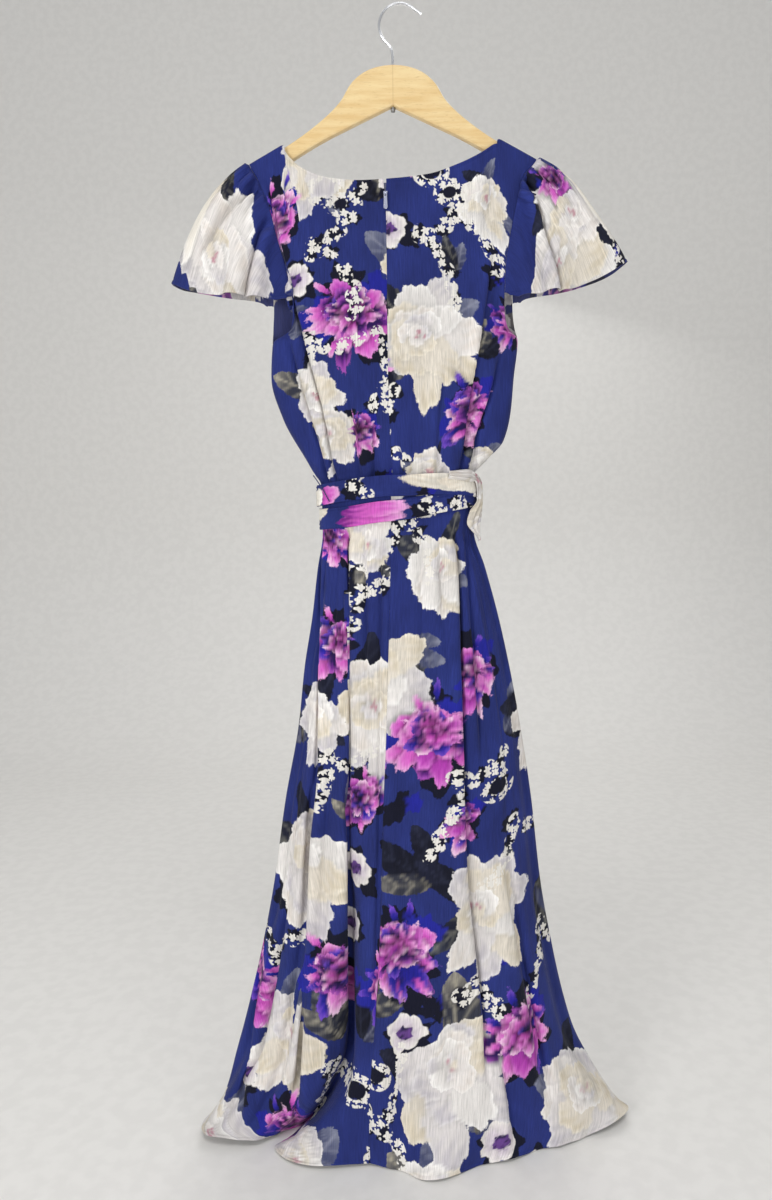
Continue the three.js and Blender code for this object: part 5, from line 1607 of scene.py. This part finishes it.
def sleeves():
    for name, side, rows, motifs in (
        ("sleeve_left", -1, LEFT_SLEEVE_CREASES, LEFT_SLEEVE_PRINT),
        ("sleeve_right", 1, RIGHT_SLEEVE_CREASES, RIGHT_SLEEVE_PRINT),
    ):
        grid, at, out = sleeve_grid(side, np.linspace(0, 1, SLEEVE_COLUMNS), SLEEVE_ROWS)
        u = np.broadcast_to(arc(grid, 1, SLEEVE_COLUMNS // 2)[-1:], at.shape)
        v = arc(grid, 0, 0)
        to_end = 0.5 - np.abs(at - 0.5)
        fade = smooth(out / SLEEVE_CREASED.seam) * smooth(to_end / SLEEVE_CREASED.ends)
        fold, across, _ = creases(at, out, rows)
        along_hem = unit(np.gradient(grid, axis=1))
        grid = grid + along_hem * (across * fade * smooth(out / SLEEVE_CREASED.across))[..., None]
        rim, extra = edged(v[-1:] - v)
        push = SLEEVE_CREASED.depth * fold * fade + rim
        cloth_piece(name, grid, side, push, u, v, motifs, 81 + side, extra)


bodice_backs()
bodice_front()
skirt_backs()
skirt_front()
sleeves()


# ---- sash pieces

UPPER_PRINT = motif_rows("""
    dark -60 4 10, rosy -122 2 46 90, strip 4 -7 120 88, strip 50 -2 110 92, strip -150 8 40 100,
    spray -48 -6 34 80, cream 190 0 70, pink -220 0 40, dark 30 12 9
""")
LOWER_PRINT = motif_rows("""
    rosy -78 6 84 91, rosy -72 -7 80 89, dark 24 6 10, spray 44 0 50 90, spray 92 -2 50 90,
    strip -104 -12 60 270, pink 200 0 40, cream -210 0 46
""")
TURN_PRINT = motif_rows("cream 0 50 110, cream 0 140 60")
TAIL_PRINT = motif_rows("""
    dark 0 24 9, spray 0 96 40, rosy -8 150 60 10, strip 8 236 50 4, pink 4 322 26
""")
KNOT_PRINT = motif_rows("dark 12 6 9, rosy -14 30 20 100")
PRINT_RADIUS = 95  # of the waist, to place the print on the wraps
# The turned stretch: thickness, how it puffs out, and its width in the print.
TURNED = Named(thickness=1.1, clear=0.5, puff=2, pleat=1.1, pleats=19, slant=1.4, print=20)
TURNING = Named(start=1, span=2, rise=4, radius=70)  # where it turns from level to upright
# The knot: how square it is, and its pleats. POLE is how near its ends its rings stop.
POLE = 0.03
KNOT_SHAPE = Named(square=0.6, round_x=0.5, round_y=0.6, slant=0.5, pleats=13, pleat=0.11, bound=0.12)
KNOT_BAND = Named(sharp=9, left=0.45, right=0.4)  # the band that binds it
HALF_SASH = SASH_HEIGHT / 2
THREAD_ROWS = table("""
    at angle out z
    0 0.1 3 -604
    1 0.25 1.6 -610
    2 0.45 1 -622
    3 0.62 0.8 -640
""")
STRAND = Named(radius=0.46, off_middle=0.42, twist=24)


def sash_piece(name, mesh, u, v, motifs, seed, sides):
    made = printed(name, mesh, SASH_LOOK, u, v, motifs, seed, sides)


def wraps():
    for name, level, out, seed, motifs in (
        ("belt_upper_wrap", UPPER_WRAP, UPPER_OUT, 2, UPPER_PRINT),
        ("belt_lower_wrap", LOWER_WRAP, LOWER_OUT, 5, LOWER_PRINT),
    ):
        grid, angle, up = wrap_grid(level, out, seed)
        mesh = new_mesh(name, grid.reshape(-1, 3), grid_quads(*angle.shape, True, True))
        u, v = (angle - np.pi / 2) * PRINT_RADIUS, -up * SASH_HEIGHT
        sash_piece(name, mesh, u, v, motifs, 91 + seed, 1)


def sash_turn():
    """The stretch at the right side that turns down from the upper wrap over the lower one."""
    t = np.linspace(0, 7, 140)[:, None]
    across = np.linspace(-0.5, 0.5, 26)[None, :]
    angle, z, width = (along(SASH_TURN, t, key) for key in ("angle", "z", "width"))
    lean = smooth((t - TURNING.start) / TURNING.span)
    up = across * (width * (1 - lean) - TURNING.rise * lean)
    pleats = TURNED.pleat * np.sin(across * TURNED.pleats + TURNED.slant * t)
    puff = TURNED.puff * np.cos(across * np.pi) + pleats
    out = OVER_SASH + CAD_CLOTH / 2 + TURNED.clear + puff
    grid = waist_point(angle + across * width * lean / TURNING.radius, out, z + up)
    u, v = across * TURNED.print + 0 * t, arc(grid, 0, 0)
    mesh = wall("belt_turn", grid, 1, TURNED.thickness)
    sash_piece("belt_turn", mesh, u, v, TURN_PRINT, 97, 2)


def knot():
    """The sash's knot: a bundle of pleats bound round its middle."""
    shape, band = KNOT_SHAPE, KNOT_BAND
    turn = circle(84)[None, :]
    rise = np.linspace(POLE, np.pi - POLE, 46)[:, None]
    round_x = squared_off(np.cos(turn), shape.square)
    round_y = squared_off(np.sin(turn), shape.square)
    lap = np.cos(turn) - shape.slant * np.cos(rise)
    bound = np.tanh(band.sharp * (lap + band.left)) - np.tanh(band.sharp * (lap - band.right)) - 1
    pleat = shape.pleat * np.sin(shape.pleats * lap + 2 * rise)
    pleats = 1 + (pleat + shape.bound * bound) * np.sin(rise)
    middle = FRONT_OF_SASH + SEAM + KNOT.thickness / 2 - KNOT.sink
    x = KNOT.x + KNOT.width / 2 * round_x * np.sin(rise) ** shape.round_x * (0.9 + 0.1 * pleats)
    y = middle + KNOT.thickness / 2 * (round_y * np.sin(rise) ** shape.round_y * pleats + 0.1)
    mesh = closed_rings("belt_knot", points(x, y, KNOT.z + KNOT.height / 2 * np.cos(rise)))
    u, v = 18 * np.cos(turn) + 0 * rise, KNOT.height * (1 - np.cos(rise)) / 2 + 0 * turn
    printed("belt_knot", mesh, SASH_LOOK, u, v, KNOT_PRINT, 103, 1)


def tails():
    """The sash's two ends, which hang from the knot."""
    t, across = np.linspace(0, 1, 150)[:, None], np.linspace(-1, 1, 24)[None, :]
    half = mix(TAIL.gathered, HALF_SASH, smooth(3 * t))
    for name, tail in TAILS.items():
        x = mix(tail.top, tail.bottom, t) + TAIL.sway * np.sin(TAIL.waves * t) + half * across
        fold = np.sin(across * 6 + tail.seed + 1.5 * t) * mix(0.9, 0.5, t)
        y = FRONT_OF_SASH + tail.out + TAIL.ripple * np.sin(3 * t + across) + fold
        slant = 5 * across * smooth((t - 0.9) / 0.1)
        grid = points(x, y, mix(TAIL.top, TAIL.bottom, t) + slant)
        u, v = HALF_SASH * across + 0 * t, arc(grid, 0, 0)
        rim, extra = edged(np.minimum(v[-1:] - v, (1 - np.abs(across)) * half))
        mesh = wall(name, pressed(grid, rim, -1), -1, CLOTH + 0.6 * extra)
        sash_piece(name, mesh, u, v, TAIL_PRINT, tail.seed, 2)


def carrier():
    """The thread belt carrier: two strands twisted round each other."""
    t = np.linspace(0, 3, 90)
    angle, out, z = (along(THREAD_ROWS, t, key) for key in ("angle", "out", "z"))
    middle = waist_point(angle, OVER_SASH + out, z)
    for k, name in enumerate(("belt_carrier_strand_a", "belt_carrier_strand_b")):
        twist = t * STRAND.twist + k * np.pi
        path = middle + STRAND.off_middle * points(np.cos(twist), np.sin(twist), 0)
        piece(name, tube(name, path, STRAND.radius), THREAD, "sash_chiffon", "belt_carrier")


wraps()
sash_turn()
knot()
tails()
carrier()


# ---- materials of the carried-over solids

NODE_MATERIALS = {
    "hanger_body": MAPLE, "hanger_hook": STEEL, "hanger_nut": NUT_STEEL, "zip_slider": ENAMEL_AND_PAINTED_SHINE,
    "zip_pull_tab": ENAMEL_AND_PAINTED_SHINE, "zip_tape": TAPE,
}
for name, material in NODE_MATERIALS.items():
    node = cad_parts[name]
    node.data.materials.clear()
    node.data.materials.append(material)

bpy.context.scene.view_settings.view_transform = "Standard"
bpy.context.view_layer.update()
